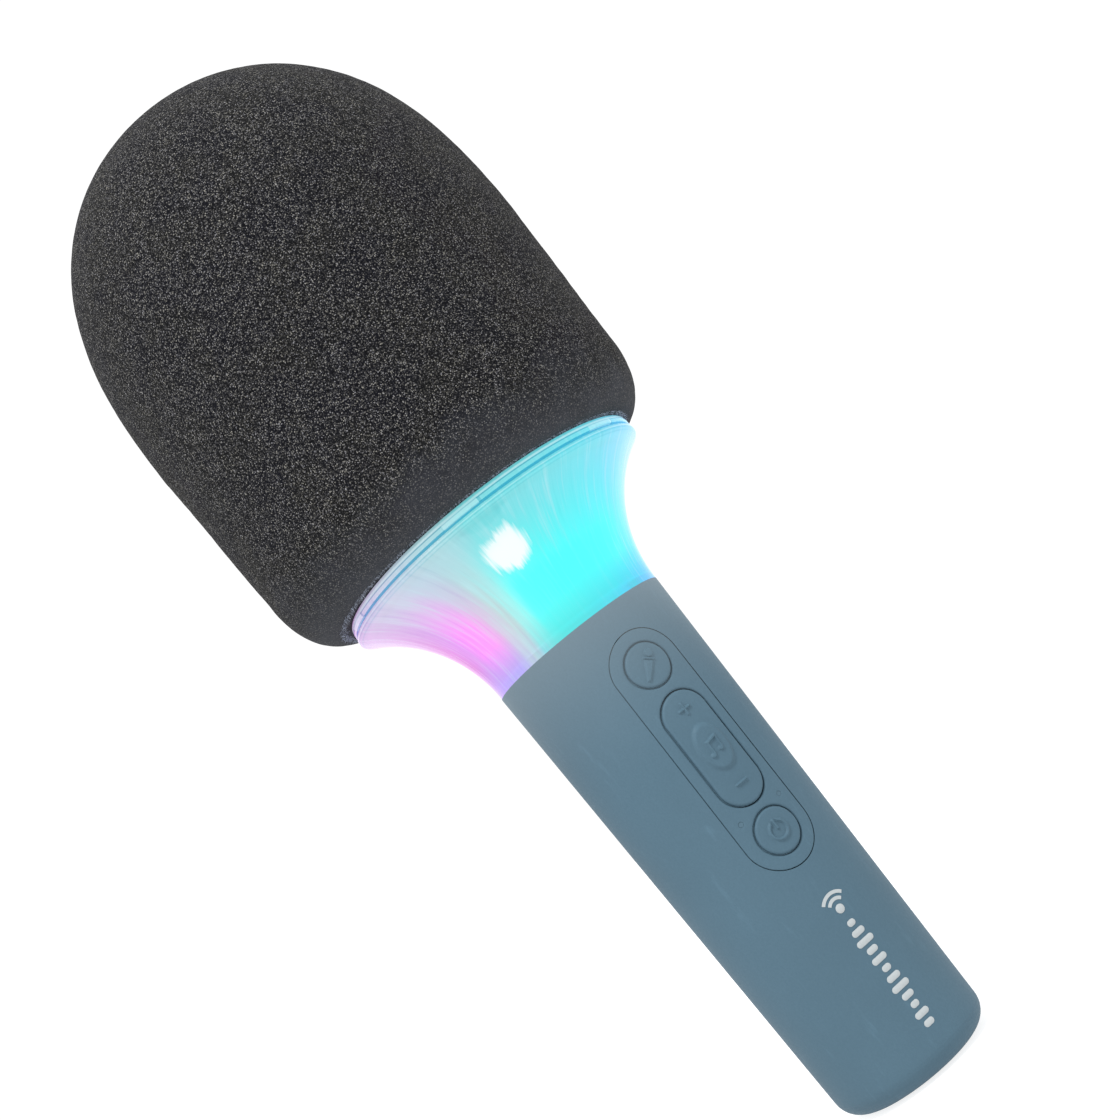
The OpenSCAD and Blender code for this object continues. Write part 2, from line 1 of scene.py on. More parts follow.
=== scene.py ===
"""Looks of the toy microphone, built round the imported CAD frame.

The mesh builders work in millimetres, and the materials in metres.
"""
import math
import random

import bmesh
import bpy
import numpy as np
from mathutils import Matrix, Vector, noise
from mathutils.geometry import delaunay_2d_cdt


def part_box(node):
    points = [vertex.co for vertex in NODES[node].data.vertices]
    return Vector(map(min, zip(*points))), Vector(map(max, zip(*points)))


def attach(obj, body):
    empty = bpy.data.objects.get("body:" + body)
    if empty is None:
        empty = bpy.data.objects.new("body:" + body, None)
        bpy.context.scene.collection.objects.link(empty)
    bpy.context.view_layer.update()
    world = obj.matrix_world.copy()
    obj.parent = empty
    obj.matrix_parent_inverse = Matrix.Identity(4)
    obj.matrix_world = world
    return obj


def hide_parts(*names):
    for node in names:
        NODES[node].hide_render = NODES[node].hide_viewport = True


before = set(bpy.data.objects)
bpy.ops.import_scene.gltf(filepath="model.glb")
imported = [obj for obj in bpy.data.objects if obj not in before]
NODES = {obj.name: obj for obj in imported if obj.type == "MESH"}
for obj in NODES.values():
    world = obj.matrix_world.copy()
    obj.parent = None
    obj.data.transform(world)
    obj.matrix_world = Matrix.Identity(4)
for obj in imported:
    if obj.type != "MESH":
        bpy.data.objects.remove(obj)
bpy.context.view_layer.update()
MM = 0.001


def node_box(node):
    """Lowest and highest corner of a CAD node, in millimetres."""
    low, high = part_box(node)
    return low / MM, high / MM


def middle_z(node):
    """Height of the middle of a CAD node, in millimetres."""
    low, high = node_box(node)
    return (low.z + high.z) / 2


# ---------------------------------------------------------------- sizes, in millimetres
# handle, a straight taper
NECK_Z = node_box("handle_shell")[1].z
HANDLE_TOP_R = node_box("handle_shell")[1].x
HANDLE_BASE_R = 16.3
# keys: how proud they stand is measured out from the taper
EFFECT_Z = middle_z("effect_button")
POWER_Z = middle_z("power_button")
ROCKER_Z = middle_z("volume_rocker")
KEY_R = 4.3
KEY_GAP = 0.25
KEY_PROUD = 0.25
KEY_BACK = -1.8
KEY_EDGE = 0.42
KEY_EDGE_ROWS = 7
KEY_STEP = 0.09
CROWN_H = 0.08
GLYPH_H = 0.34
SKIRT_DROP = 0.45
SKIRT_W = 0.2
ROCKER_HALF_W = 4.65
ROCKER_LEN = 24.2
ROCKER_TILT_ROOM = 0.09
OVAL_HALF_W = 3.0
OVAL_HALF_LEN = 4.6
OVAL_SCALE = 3.6
OVAL_H = 0.5
OVAL_SOFT = 0.45
PLUS_Z = 8.5
MINUS_Z = -8.0
# pale print: how deep it starts, how proud its face stands, and the size of its bevel
PRINT_ROOT = -0.05
PRINT_FACE = 0.05
PRINT_EDGE = 0.03
BAR_WIDTHS = [1.7, 2.8, 3.8, 2.4, 3.3, 1.9, 3.0, 3.9, 2.6, 1.8, 3.1, 2.2]
BAR_TALL = 1.2
BAR_TOP_Z = 29.9
BAR_PITCH = 1.95
DOT_Z = 33.0
DOT_WIDE = 1.75
DOT_TALL = 1.7
WAVE_RADII = (1.95, 3.1)
WAVE_HALF_W = 0.32
WAVE_STEPS = 40
# the keys' hidden backs
KEY_STEM_IN = 0.6
FLANGE_OUT = 0.8
FLANGE_H = 0.8
EFFECT_FLANGE_Y = -14.3
POWER_FLANGE_Y = -13.3
PUSHER_R = 1.6
PUSHER_END_Y = -12.2
ROD_SIDES = 32
ROCKER_BACK_Y = -16.8
EAR_X = 3.0
EAR_HALF_W = 0.5
EAR_HALF_H = 1.8
EAR_END_Y = -12.9
POST_R = 1.3
POST_Z = 8.2
POST_END_Y = -12.5
# keypad plate
BEZEL_HALF_W = 7.1
BEZEL_Z = (EFFECT_Z + POWER_Z) / 2
BEZEL_LEN = EFFECT_Z - POWER_Z + 2 * BEZEL_HALF_W
BEZEL_THICK = 1.9
BEZEL_EDGE = 0.16
HOLE_EDGE = 0.4
LIGHT_X = 4.8
LIGHT_Z = 55.2
LIGHT_R = 0.48
LIGHT_EDGE = 0.08
GRID_STEP = 0.55
GRID_TO_OUTLINE = 0.4
GRID_TO_HOLE = 0.52
# light cone and diffuser
FLARE_R = 28.0
FLARE_H = 24.6
FLARE_X = HANDLE_TOP_R + FLARE_R
LIP_Z = NECK_Z + FLARE_H
LIP_R = 34.0
CONE_TOP = node_box("light_cone")[1].z
CONE_LOW = node_box("light_cone")[0].z
CONE_WALL = 2.2
CONE_FLOOR = 2.0
CONE_BORE_R = 9.0
SPIGOT_IN_R = 14.55
SPIGOT_OUT_R = 16.55
DIFFUSER_GAP = 0.3
DIFFUSER_WALL = 1.4
DIFFUSER_TOP = node_box("diffuser")[1].z
CONE_SIDES = 256
CONE_ROWS = 56
DIFFUSER_ROWS = 48
# clamp ring: places of its tabs are shares of a sixth of a turn
RING_TOP = node_box("clamp_ring")[1].z
RING_IN_R = 31.6
RING_SIDES = 360
GROOVE_H = 0.5
GROOVE_DEEP = 0.55
TAB_COUNT = 6
TAB_PLACE = 0.56
TAB_HALF = 0.11
TAB_PROUD = 0.16
# foam and the basket inside it
FOAM_Z, FOAM_TOP = (p.z for p in node_box("foam_windscreen"))
FOAM_R = node_box("foam_windscreen")[1].x
FOAM_WIDE_Z = 176.0
FOAM_LOW_R = 42.5
FOAM_LIP_W = 7.5
FOAM_LIP_H = 13.4
FOAM_SIDES = 420
LIP_ROWS = 40
SIDE_ROWS = 50
DOME_ROWS = 150
BASKET_ROWS = 40
FOAM_SHIFT = np.array([-0.74, 0.30, 0.0])
DOME_POWER = 2.8
BASKET_R = 31.0
BASKET_SHOULDER_Z = 178.0
BASKET_SHOULDER_R = 30.0
BASKET_TOP = 224.0
BASKET_CLEAR = 0.6
FUZZ_COUNT = 4600
FUZZ_LEAN = -101
FUZZ_LEAN_SPAN = 12
# unevenness of the foam: scale of the noise, then its height
FOAM_BUMPS = [(0.45, 0.06), (0.07, 0.15)]
# floor, in metres
FLOOR_R = 3.0
FLOOR_SIDES = 96
FLOOR_DROP = 0.0001


def handle_r(z):
    """Radius of the handle's taper at a height."""
    return HANDLE_BASE_R + (HANDLE_TOP_R - HANDLE_BASE_R) * z / NECK_Z


# ---------------------------------------------------------------- camera
CAMERA_AZIMUTH = math.radians(-21.8)
CAMERA_DISTANCE = 308.02
CAMERA_HEIGHT = 67.94
AIM_SIDE = 6.67
AIM_HEIGHT = 115.6
CAMERA_ROLL = math.radians(38.76)
CAMERA_LENS = 51.43


def make_camera():
    """The photo's camera, its place and aim being in millimetres."""
    out = Vector((math.sin(CAMERA_AZIMUTH), -math.cos(CAMERA_AZIMUTH), 0))
    side = Vector((math.cos(CAMERA_AZIMUTH), math.sin(CAMERA_AZIMUTH), 0))
    place = out * CAMERA_DISTANCE + Vector((0, 0, CAMERA_HEIGHT))
    aim = side * AIM_SIDE + Vector((0, 0, AIM_HEIGHT))
    data = bpy.data.cameras.new("camera")
    data.lens = CAMERA_LENS
    data.sensor_width = 36
    data.clip_start = 0.01
    data.clip_end = 20
    camera = bpy.data.objects.new("camera", data)
    bpy.context.scene.collection.objects.link(camera)
    look = (aim - place).to_track_quat("-Z", "Y").to_matrix()
    turn = look @ Matrix.Rotation(-CAMERA_ROLL, 3, "Z")
    camera.matrix_world = Matrix.Translation(place * MM) @ turn.to_4x4()
    bpy.context.scene.camera = camera


# ---------------------------------------------------------------- mesh builders
def add_object(name, points, faces, body, slot, material, sharp=35, replaces=()):
    """A smooth-shaded piece from points in millimetres, riding on a body."""
    mesh = bpy.data.meshes.new(name)
    mesh.from_pydata((np.asarray(points, float) * MM).tolist(), [], faces)
    bm = bmesh.new()
    bm.from_mesh(mesh)
    bmesh.ops.remove_doubles(bm, verts=bm.verts, dist=2e-7)
    bmesh.ops.recalc_face_normals(bm, faces=bm.faces)
    bm.to_mesh(mesh)
    bm.free()
    mesh.shade_smooth()
    mesh.set_sharp_from_angle(angle=math.radians(sharp))
    mesh.materials.append(material)
    piece = bpy.data.objects.new(name, mesh)
    bpy.context.scene.collection.objects.link(piece)
    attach(piece, body)
    if replaces:
        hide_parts(*replaces)
    return piece


def tube_faces(rings, count, closed_around=True, closed_along=False):
    """Quads between rings of points, each ring being count points round."""
    faces = []
    last = count if closed_around else count - 1
    for i in range(rings if closed_along else rings - 1):
        a, b = i * count, ((i + 1) % rings) * count
        for j in range(last):
            k = (j + 1) % count
            faces.append((a + j, a + k, b + k, b + j))
    return faces


def lathe(profile, count):
    """Points and faces of a closed profile of (radius, z) turned about Z."""
    turn = np.arange(count) * 2 * math.pi / count
    ring = np.stack([np.cos(turn), np.sin(turn)], 1)
    points = np.concatenate([np.c_[r * ring, np.full(count, z)] for r, z in profile])
    return points, tube_faces(len(profile), count, closed_along=True)


def arc(x, z, r, start, end, steps):
    """Points of (radius, z) on a round stretch of a profile, between two angles in degrees."""
    angles = np.radians(np.linspace(start, end, steps + 1))
    return [(x + r * math.cos(a), z + r * math.sin(a)) for a in angles]


def flare(offset, low, high, steps):
    """The cone's concave flare at a wall offset, between two heights above the neck."""
    first, last = (math.degrees(math.asin(h / (FLARE_R + offset))) for h in (low, high))
    return arc(FLARE_X, NECK_Z, FLARE_R + offset, 180 - first, 180 - last, steps)


def on_handle(x, z, proud):
    """A point on the keypad side of the handle's taper, grown by proud."""
    r = handle_r(z) + proud
    return np.stack([x, -np.sqrt(np.maximum(r * r - x * x, 0)), z], -1)


def stadium(half_w, straight, step):
    """Rows round a stadium long along Z: the outward direction in X and Z, then the centre's Z."""
    arc_n = max(24, int(math.pi * half_w / step))
    line_n = max(1, int(straight / step)) if straight else 0
    turn = np.linspace(0, math.pi, arc_n, endpoint=False)
    rows = [(math.cos(t), math.sin(t), straight / 2) for t in turn]
    rows += [(-1, 0, straight / 2 - straight * i / line_n) for i in range(line_n)]
    rows += [(-math.cos(t), -math.sin(t), -straight / 2) for t in turn]
    rows += [(1, 0, -straight / 2 + straight * i / line_n) for i in range(line_n)]
    return np.array(rows)


def inset_outline(rows, half_w, inset, x, z):
    """X and Z round a stadium's outline, an inset in from its edge."""
    return x + (half_w - inset) * rows[:, 0], z + rows[:, 2] + (half_w - inset) * rows[:, 1]


def rounded_drop(distance, edge):
    """How far a rounded edge has dropped at a distance in from it."""
    short = np.clip(edge - distance, 0, edge)
    return edge - np.sqrt(np.maximum(edge * edge - short * short, 0))


def cap(z, half_w, length, height, tilt_room=0.0):
    """Points and faces of a key cap on the taper: height gives how proud it is."""
    rows = stadium(half_w, length - 2 * half_w, KEY_STEP)
    skirt = tilt_room * np.abs(rows[:, 1]) - SKIRT_W
    rings = []
    for inset, proud in ((half_w, KEY_BACK), (half_w * 0.5, KEY_BACK), (skirt, KEY_BACK),
                         (skirt, -SKIRT_DROP), (0, -SKIRT_DROP)):
        px, pz = inset_outline(rows, half_w, inset, 0, z)
        rings.append(on_handle(px, pz, proud))
    turns = [math.radians(90 * i / KEY_EDGE_ROWS) for i in range(KEY_EDGE_ROWS)]
    insets = [KEY_EDGE * (1 - math.cos(a)) for a in turns]
    fine = max(2, int((half_w - KEY_EDGE) / KEY_STEP))
    insets += list(np.linspace(KEY_EDGE, half_w, fine + 1))
    for inset in insets:
        px, pz = inset_outline(rows, half_w, inset, 0, z)
        proud = height(px, pz - z, inset) - rounded_drop(inset, KEY_EDGE)
        rings.append(on_handle(px, pz, proud))
    return np.concatenate(rings), tube_faces(len(rings), len(rows))


def rod(x, y0, y1, z, r):
    """Points and faces of a closed rod along Y."""
    turn = np.arange(ROD_SIDES) * 2 * math.pi / ROD_SIDES
    across, up = r * np.cos(turn), r * np.sin(turn)
    rings = []
    for y, k in ((y0, 0), (y0, 1), (y1, 1), (y1, 0)):
        rings.append(np.stack([x + k * across, np.full(ROD_SIDES, y), z + k * up], 1))
    return np.concatenate(rings), tube_faces(len(rings), ROD_SIDES)


def block(low, high):
    """Points and faces of a box."""
    (x0, y0, z0), (x1, y1, z1) = low, high
    points = [(x, y, z) for x in (x0, x1) for y in (y0, y1) for z in (z0, z1)]
    faces = [(0, 1, 3, 2), (4, 6, 7, 5), (0, 4, 5, 1), (2, 3, 7, 6), (0, 2, 6, 4), (1, 5, 7, 3)]
    return np.array(points, float), faces


def joined(*parts):
    """Several (points, faces) in one."""
    points, faces = [], []
    start = 0
    for p, f in parts:
        points.append(np.asarray(p, float))
        faces += [tuple(i + start for i in face) for face in f]
        start += len(p)
    return np.concatenate(points), faces


# ---------------------------------------------------------------- glyphs, as signed distances
def segment(x, z, ax, az, bx, bz):
    """Distance to the line from a to b."""
    dx, dz = bx - ax, bz - az
    t = np.clip(((x - ax) * dx + (z - az) * dz) / (dx * dx + dz * dz), 0, 1)
    return np.hypot(x - ax - t * dx, z - az - t * dz)


def embossed(distance, depth, soft=0.16):
    """Height of a raised line whose signed distance is given."""
    t = np.clip(0.5 - distance / (2 * soft), 0, 1)
    return depth * t * t * (3 - 2 * t)


def tilted(x, z, degrees):
    """X and Z in axes turned clockwise."""
    a = math.radians(degrees)
    return x * math.cos(a) - z * math.sin(a), x * math.sin(a) + z * math.cos(a)


def mic_glyph(x, z):
    """A hand microphone, its head up and to the right."""
    u, v = tilted(x, z, 38)
    head = np.hypot(u, v - 2.15) - 0.8
    collar = segment(u, v, -0.95, 1.05, 0.95, 1.05) - 0.2
    grip = np.maximum(np.abs(u) - (0.72 + 0.14 * v), np.maximum(v - 0.7, -3.3 - v))
    return np.minimum(np.minimum(head, collar), grip)


def plus_glyph(x, z):
    return np.minimum(segment(x, z, -1.15, 0, 1.15, 0), segment(x, z, 0, -1.15, 0, 1.15)) - 0.22


def minus_glyph(x, z):
    return segment(x, z, -1.1, 0, 1.1, 0) - 0.22


def power_glyph(x, z):
    ring = np.abs(np.hypot(x, z) - 1.75) - 0.24
    gap = np.maximum(np.abs(x) - 0.62, -z)
    return np.minimum(np.maximum(ring, -gap), segment(x, z, 0, 0.3, 0, 1.9) - 0.24)


def note_glyph(x, z):
    """A pair of joined quavers."""
    stems = np.minimum(segment(x, z, -0.8, -1.3, -0.8, 1.2),
                       segment(x, z, 1.2, -0.9, 1.2, 1.6)) - 0.18
    beam = segment(x, z, -0.8, 1.2, 1.2, 1.6) - 0.27
    heads = np.minimum(np.hypot((x + 1.2) / 1.25, z + 1.35),
                       np.hypot((x - 0.8) / 1.25, z + 0.95)) - 0.42
    return np.minimum(np.minimum(stems, beam), heads)


# ---------------------------------------------------------------- materials
def new_material(name):
    material = bpy.data.materials.new(name)
    material.use_nodes = True
    tree = material.node_tree
    return material, tree, tree.nodes["Principled BSDF"]


def add(tree, kind, inputs=None, **settings):
    node = tree.nodes.new("ShaderNode" + kind)
    for key, value in settings.items():
        setattr(node, key, value)
    for key, value in (inputs or {}).items():
        if isinstance(value, bpy.types.NodeSocket):
            tree.links.new(value, node.inputs[key])
        else:
            node.inputs[key].default_value = value
    return node


def coordinates(tree, offset=(0, 0, 0), scale=(1, 1, 1)):
    place = add(tree, "TexCoord").outputs["Object"]
    return add(tree, "Mapping", {"Vector": place, "Location": offset, "Scale": scale}).outputs[0]


def noise_value(tree, vector, scale, detail=2.0, rough=0.5):
    inputs = {"Vector": vector, "Scale": scale, "Detail": detail, "Roughness": rough}
    return add(tree, "TexNoise", inputs).outputs["Fac"]


def remap(tree, value, from_low, from_high, to_low, to_high):
    inputs = {"Value": value, "From Min": from_low, "From Max": from_high,
              "To Min": to_low, "To Max": to_high}
    return add(tree, "MapRange", inputs, clamp=True).outputs[0]


def mix(tree, factor, first, second, blend="MIX"):
    node = add(tree, "Mix", data_type="RGBA", blend_type=blend)
    for index, value in ((0, factor), (6, first), (7, second)):
        socket = node.inputs[index]
        if isinstance(value, bpy.types.NodeSocket):
            tree.links.new(value, socket)
        elif isinstance(value, (int, float)):
            socket.default_value = value
        else:
            socket.default_value = (*value, 1)
    return node.outputs[2]


def maths(tree, operation, first, second=0.0):
    return add(tree, "Math", {0: first, 1: second}, operation=operation).outputs[0]


def band(tree, value, middle, half, soft):
    """1 within half of the middle, fading to 0 over the soft width beyond."""
    off = maths(tree, "ABSOLUTE", maths(tree, "SUBTRACT", value, middle))
    return remap(tree, off, half, half + soft, 1, 0)


def position(tree):
    """Object-space x, y and z in metres."""
    return add(tree, "SeparateXYZ", {0: add(tree, "TexCoord").outputs["Object"]}).outputs


def azimuth(tree, x, y):
    """Angle about Z from the keypad's side, in radians."""
    return maths(tree, "ARCTAN2", x, maths(tree, "MULTIPLY", y, -1.0))


def bump(tree, shader, height, distance, strength=1.0):
    inputs = {"Height": height, "Distance": distance, "Strength": strength}
    tree.links.new(add(tree, "Bump", inputs).outputs[0], shader.inputs["Normal"])


def shade(colour, factor):
    return tuple(min(1.0, c * factor) for c in colour)


def linear(r, g, b):
    """Linear colour of an sRGB colour given in 0..255."""
    return tuple(((c / 255 + 0.055) / 1.055) ** 2.4 if c > 10.3 else c / 255 / 12.92
                 for c in (r, g, b))


def moulded(name, colour, rough, mottle=0.05, grain=2600, depth=0.00002, scuff=0.05, metallic=0.0,
            specular=0.5, coat=0.0):
    """Moulded plastic, rubber or metal: mottled colour, fine grain, faint scuffs."""
    material, tree, shader = new_material(name)
    place = coordinates(tree)
    broad = noise_value(tree, place, 45, 3.0)
    fine = noise_value(tree, place, grain, 2.0)
    worn = noise_value(tree, coordinates(tree, (0.3, 0.1, 0.7), (1, 1, 0.22)), 420, 5.0, 0.65)
    marks = remap(tree, worn, 0.60, 0.74, 0.0, 1.0)
    patch = remap(tree, broad, 0.35, 0.65, 0, 1)
    base = mix(tree, patch, shade(colour, 1 - mottle), shade(colour, 1 + mottle))
    speck = mix(tree, remap(tree, fine, 0.3, 0.7, 0, 0.35), base, shade(colour, 0.82))
    tone = mix(tree, marks, speck, shade(colour, 1 + 2.2 * scuff))
    tree.links.new(tone, shader.inputs["Base Color"])
    level = maths(tree, "ADD", remap(tree, fine, 0.3, 0.7, rough - 0.04, rough + 0.06),
                  remap(tree, marks, 0, 1, 0, -scuff))
    tree.links.new(level, shader.inputs["Roughness"])
    shader.inputs["Metallic"].default_value = metallic
    shader.inputs["Specular IOR Level"].default_value = specular
    shader.inputs["Coat Weight"].default_value = coat
    bump(tree, shader, fine, depth)
    return material


def ramp(tree, factor, stops):
    node = add(tree, "ValToRGB", {"Fac": factor})
    elements = node.color_ramp.elements
    while len(elements) < len(stops):
        elements.new(0.5)
    for element, (share, colour) in zip(elements, stops):
        element.position = share
        element.color = (*colour, 1)
    return node.outputs["Color"]


# Light colours round the cone: azimuth in degrees from the keypad's side, then an sRGB colour
GLOW_NECK = [(-157, (205, 140, 250)), (-122, (196, 132, 244)), (-82, (180, 160, 242)),
             (-60, (176, 174, 240)), (-48, (188, 210, 226)), (-39, (110, 226, 226)),
             (-22, (60, 228, 226)), (18, (50, 220, 236)), (42, (60, 200, 248)),
             (72, (80, 170, 250)), (108, (96, 130, 255)), (158, (150, 130, 252))]
GLOW_MIDDLE = [(-157, (235, 130, 250)), (-122, (220, 82, 212)), (-97, (212, 88, 210)),
               (-82, (222, 142, 238)), (-72, (252, 142, 250)), (-62, (250, 160, 244)),
               (-53, (216, 192, 224)), (-45, (190, 216, 218)), (-37, (140, 246, 242)),
               (-29, (60, 255, 252)), (-12, (30, 252, 250)), (30, (30, 248, 252)),
               (52, (60, 228, 252)), (76, (80, 200, 250)), (108, (95, 130, 255)),
               (158, (165, 120, 255))]
GLOW_RIM = [(-122, (196, 140, 214)), (-92, (200, 152, 214)), (-67, (202, 202, 226)),
            (-42, (172, 214, 222)), (-22, (116, 220, 224)), (18, (96, 222, 234)),
            (58, (110, 206, 242)), (108, (146, 156, 250)), (158, (176, 166, 250))]
# bright spots on the cone, the front one a painted highlight and the back ones spots of the lights'
# glow: azimuth, height above the neck in mm, half width in degrees, half height in mm, strength
GLOW_SPOTS_AND_HIGHLIGHT = [(-22, 18.0, 9.5, 3.7, 1.0), (106, 15.5, 8.0, 3.2, 0.7), (-140, 15.5, 8.0, 3.2, 0.7)]


def glow_stops(stops):
    """Ramp stops from azimuths, joined up where the ramp wraps round."""
    placed = [((a + 180) / 360, linear(*c)) for a, c in stops]
    low, high = placed[0], placed[-1]
    share = (1 - high[0]) / (1 - high[0] + low[0])
    seam = tuple(h + (l - h) * share for h, l in zip(high[1], low[1]))
    return [(0.0, seam)] + placed + [(1.0, seam)]


def glow(tree):
    """The light's colour on the cone, with the height in metres, the azimuth and the streaks."""
    x, y, z = position(tree)
    angle = azimuth(tree, x, y)
    height = remap(tree, z, NECK_Z * MM, LIP_Z * MM, 0, 1)
    spin = add(tree, "CombineXYZ", {0: maths(tree, "MULTIPLY", angle, 25.0),
                                    1: maths(tree, "MULTIPLY", z, 70.0), 2: 1.04}).outputs[0]
    streak = noise_value(tree, spin, 1.0, 4.0, 0.62)
    wave = noise_value(tree, spin, 0.22, 2.0)
    turn = remap(tree, angle, -math.pi, math.pi, 0, 1)
    lean = maths(tree, "ADD", maths(tree, "MULTIPLY", wave, 0.05),
                 maths(tree, "MULTIPLY", streak, 0.03))
    turned = maths(tree, "SUBTRACT", maths(tree, "ADD", turn, lean), 0.04)
    neck, middle, rim = (ramp(tree, turned, glow_stops(stops))
                         for stops in (GLOW_NECK, GLOW_MIDDLE, GLOW_RIM))
    low = remap(tree, height, 0.03, 0.30, 1, 0)
    ragged_height = maths(tree, "ADD", height, maths(tree, "MULTIPLY", streak, 0.24))
    high = remap(tree, ragged_height, 0.62, 1.05, 0, 1)
    colour = mix(tree, high, mix(tree, low, middle, neck), rim)
    # the brightest side is the smoothest
    smooth = maths(tree, "MULTIPLY", band(tree, angle, -0.05, 0.5, 0.25),
                   remap(tree, height, 0.45, 0.75, 0.85, 0.1))
    lined = maths(tree, "SUBTRACT", 1.0, smooth)
    pale = maths(tree, "MULTIPLY", remap(tree, streak, 0.52, 0.78, 0, 0.45), lined)
    colour = mix(tree, pale, colour, linear(206, 236, 242))
    dull = maths(tree, "MULTIPLY", remap(tree, streak, 0.46, 0.30, 0, 0.18), lined)
    colour = mix(tree, dull, colour, linear(120, 200, 214), "MULTIPLY")
    # the front spot is a painted highlight, the others spots of the lights' glow
    for spot in GLOW_SPOTS_AND_HIGHLIGHT:
        colour = mix(tree, bright_spot_strength(tree, z, angle, streak, *spot), colour, linear(244, 252, 252))
    return colour, z, angle, streak


def bright_spot_strength(tree, z, angle, streak, turn, height, wide, tall, strength):
    """Strength of one bright spot on the cone, its edge frayed by the streaks; the front spot is a
    painted highlight.
    """
    across = maths(tree, "SUBTRACT", angle, math.radians(turn))
    across = maths(tree, "DIVIDE", across, math.radians(wide))
    along = maths(tree, "DIVIDE", maths(tree, "SUBTRACT", z, (NECK_Z + height) * MM), tall * MM)
    squares = maths(tree, "ADD", maths(tree, "POWER", across, 2.0),
                    maths(tree, "POWER", along, 2.0))
    ragged = maths(tree, "ADD", maths(tree, "SQRT", squares), maths(tree, "MULTIPLY", streak, 1.3))
    return remap(tree, ragged, 1.38, 1.72, strength, 0)


def glow_material():
    """The milky diffuser: light of many colours from behind, with streaks, bright spots and a
    painted highlight.
    """
    material, tree, shader = new_material("milky_glow")
    colour, _, _, streak = glow(tree)
    tree.links.new(colour, shader.inputs["Emission Color"])
    shader.inputs["Emission Strength"].default_value = 1.2
    tree.links.new(mix(tree, 0.75, colour, (0, 0, 0)), shader.inputs["Base Color"])
    tree.links.new(remap(tree, streak, 0.3, 0.7, 0.30, 0.42), shader.inputs["Roughness"])
    shader.inputs["Specular IOR Level"].default_value = 0.2
    bump(tree, shader, streak, 0.00005, 0.5)
    return material


def ring_shade_and_highlights(tree, colour, z, angle):
    """The clamp ring's light, with painted shade in its groove, along a step and past the tabs'
    ends, and painted highlights on its tabs and along its upper edge.
    """
    def line(height, half, soft):
        """1 along a line round the ring: height above the cone in mm, widths in metres."""
        return band(tree, z, (CONE_TOP + height) * MM, half, soft)

    # painted shade: a darker line in the groove
    groove_shade = mix(tree, 1.0, colour, linear(120, 206, 232), "MULTIPLY")
    colour = mix(tree, line(0.2, 0.00028, 0.0001), colour, groove_shade)
    # painted shade: a darker line along the small step
    step = maths(tree, "MULTIPLY", line(1.35, 0.00007, 0.0001), 0.6)
    colour = mix(tree, step, colour, linear(92, 176, 206), "MULTIPLY")
    place = maths(tree, "FRACT", maths(tree, "MULTIPLY", angle, TAB_COUNT / (2 * math.pi)))
    # painted highlight: the tabs made paler
    tab_row = line(0.95, 0.00045, 0.0001)
    tab_highlight = maths(tree, "MULTIPLY", band(tree, place, TAB_PLACE, TAB_HALF, 0.004), tab_row)
    colour = mix(tree, maths(tree, "MULTIPLY", tab_highlight, 0.3), colour, linear(224, 250, 252))
    # painted shade: a darker mark just past each tab's end
    end = band(tree, place, TAB_PLACE + TAB_HALF + 0.012, 0.006, 0.004)
    end = maths(tree, "MULTIPLY", end, tab_row)
    colour = mix(tree, maths(tree, "MULTIPLY", end, 0.5), colour, linear(130, 200, 220), "MULTIPLY")
    # painted highlight: a pale line along the upper edge
    edge = maths(tree, "MULTIPLY", line(1.7, 0.0001, 0.00015), 0.5)
    return mix(tree, edge, colour, linear(220, 244, 250))


def lip_marks(tree, colour, z):
    """The cone's light, with three fine lines below its lip."""
    for drop, tone, blend in ((0.5, (214, 248, 250), "MIX"), (0.8, (150, 214, 226), "MULTIPLY"),
                              (1.3, (190, 232, 238), "MULTIPLY")):
        line = maths(tree, "MULTIPLY", band(tree, z, (CONE_TOP - drop) * MM, 0.00005, 0.00008), 0.4)
        colour = mix(tree, line, colour, mix(tree, 1.0, colour, linear(*tone), blend))
    return colour


# share of the light's colour that the clear parts' base colour keeps
CLEAR_TINT = 0.42


def clear_material(name, emission, clear, ring=False):
    """Clear moulded plastic that carries the light's colours, with faint flow lines."""
    material, tree, shader = new_material(name)
    colour, z, angle, streak = glow(tree)
    fine = noise_value(tree, coordinates(tree), 1800, 2.0)
    colour = mix(tree, 0.06, colour, (1, 1, 1))
    colour = ring_shade_and_highlights(tree, colour, z, angle) if ring else lip_marks(tree, colour, z)
    tree.links.new(mix(tree, 1 - CLEAR_TINT, colour, (0, 0, 0)), shader.inputs["Base Color"])
    tree.links.new(colour, shader.inputs["Emission Color"])
    shader.inputs["Emission Strength"].default_value = emission
    tree.links.new(remap(tree, fine, 0.3, 0.7, 0.04, 0.08), shader.inputs["Roughness"])
    shader.inputs["Transmission Weight"].default_value = clear
    shader.inputs["IOR"].default_value = 1.38
    bump(tree, shader, streak, 0.00004, 0.5)
    return material


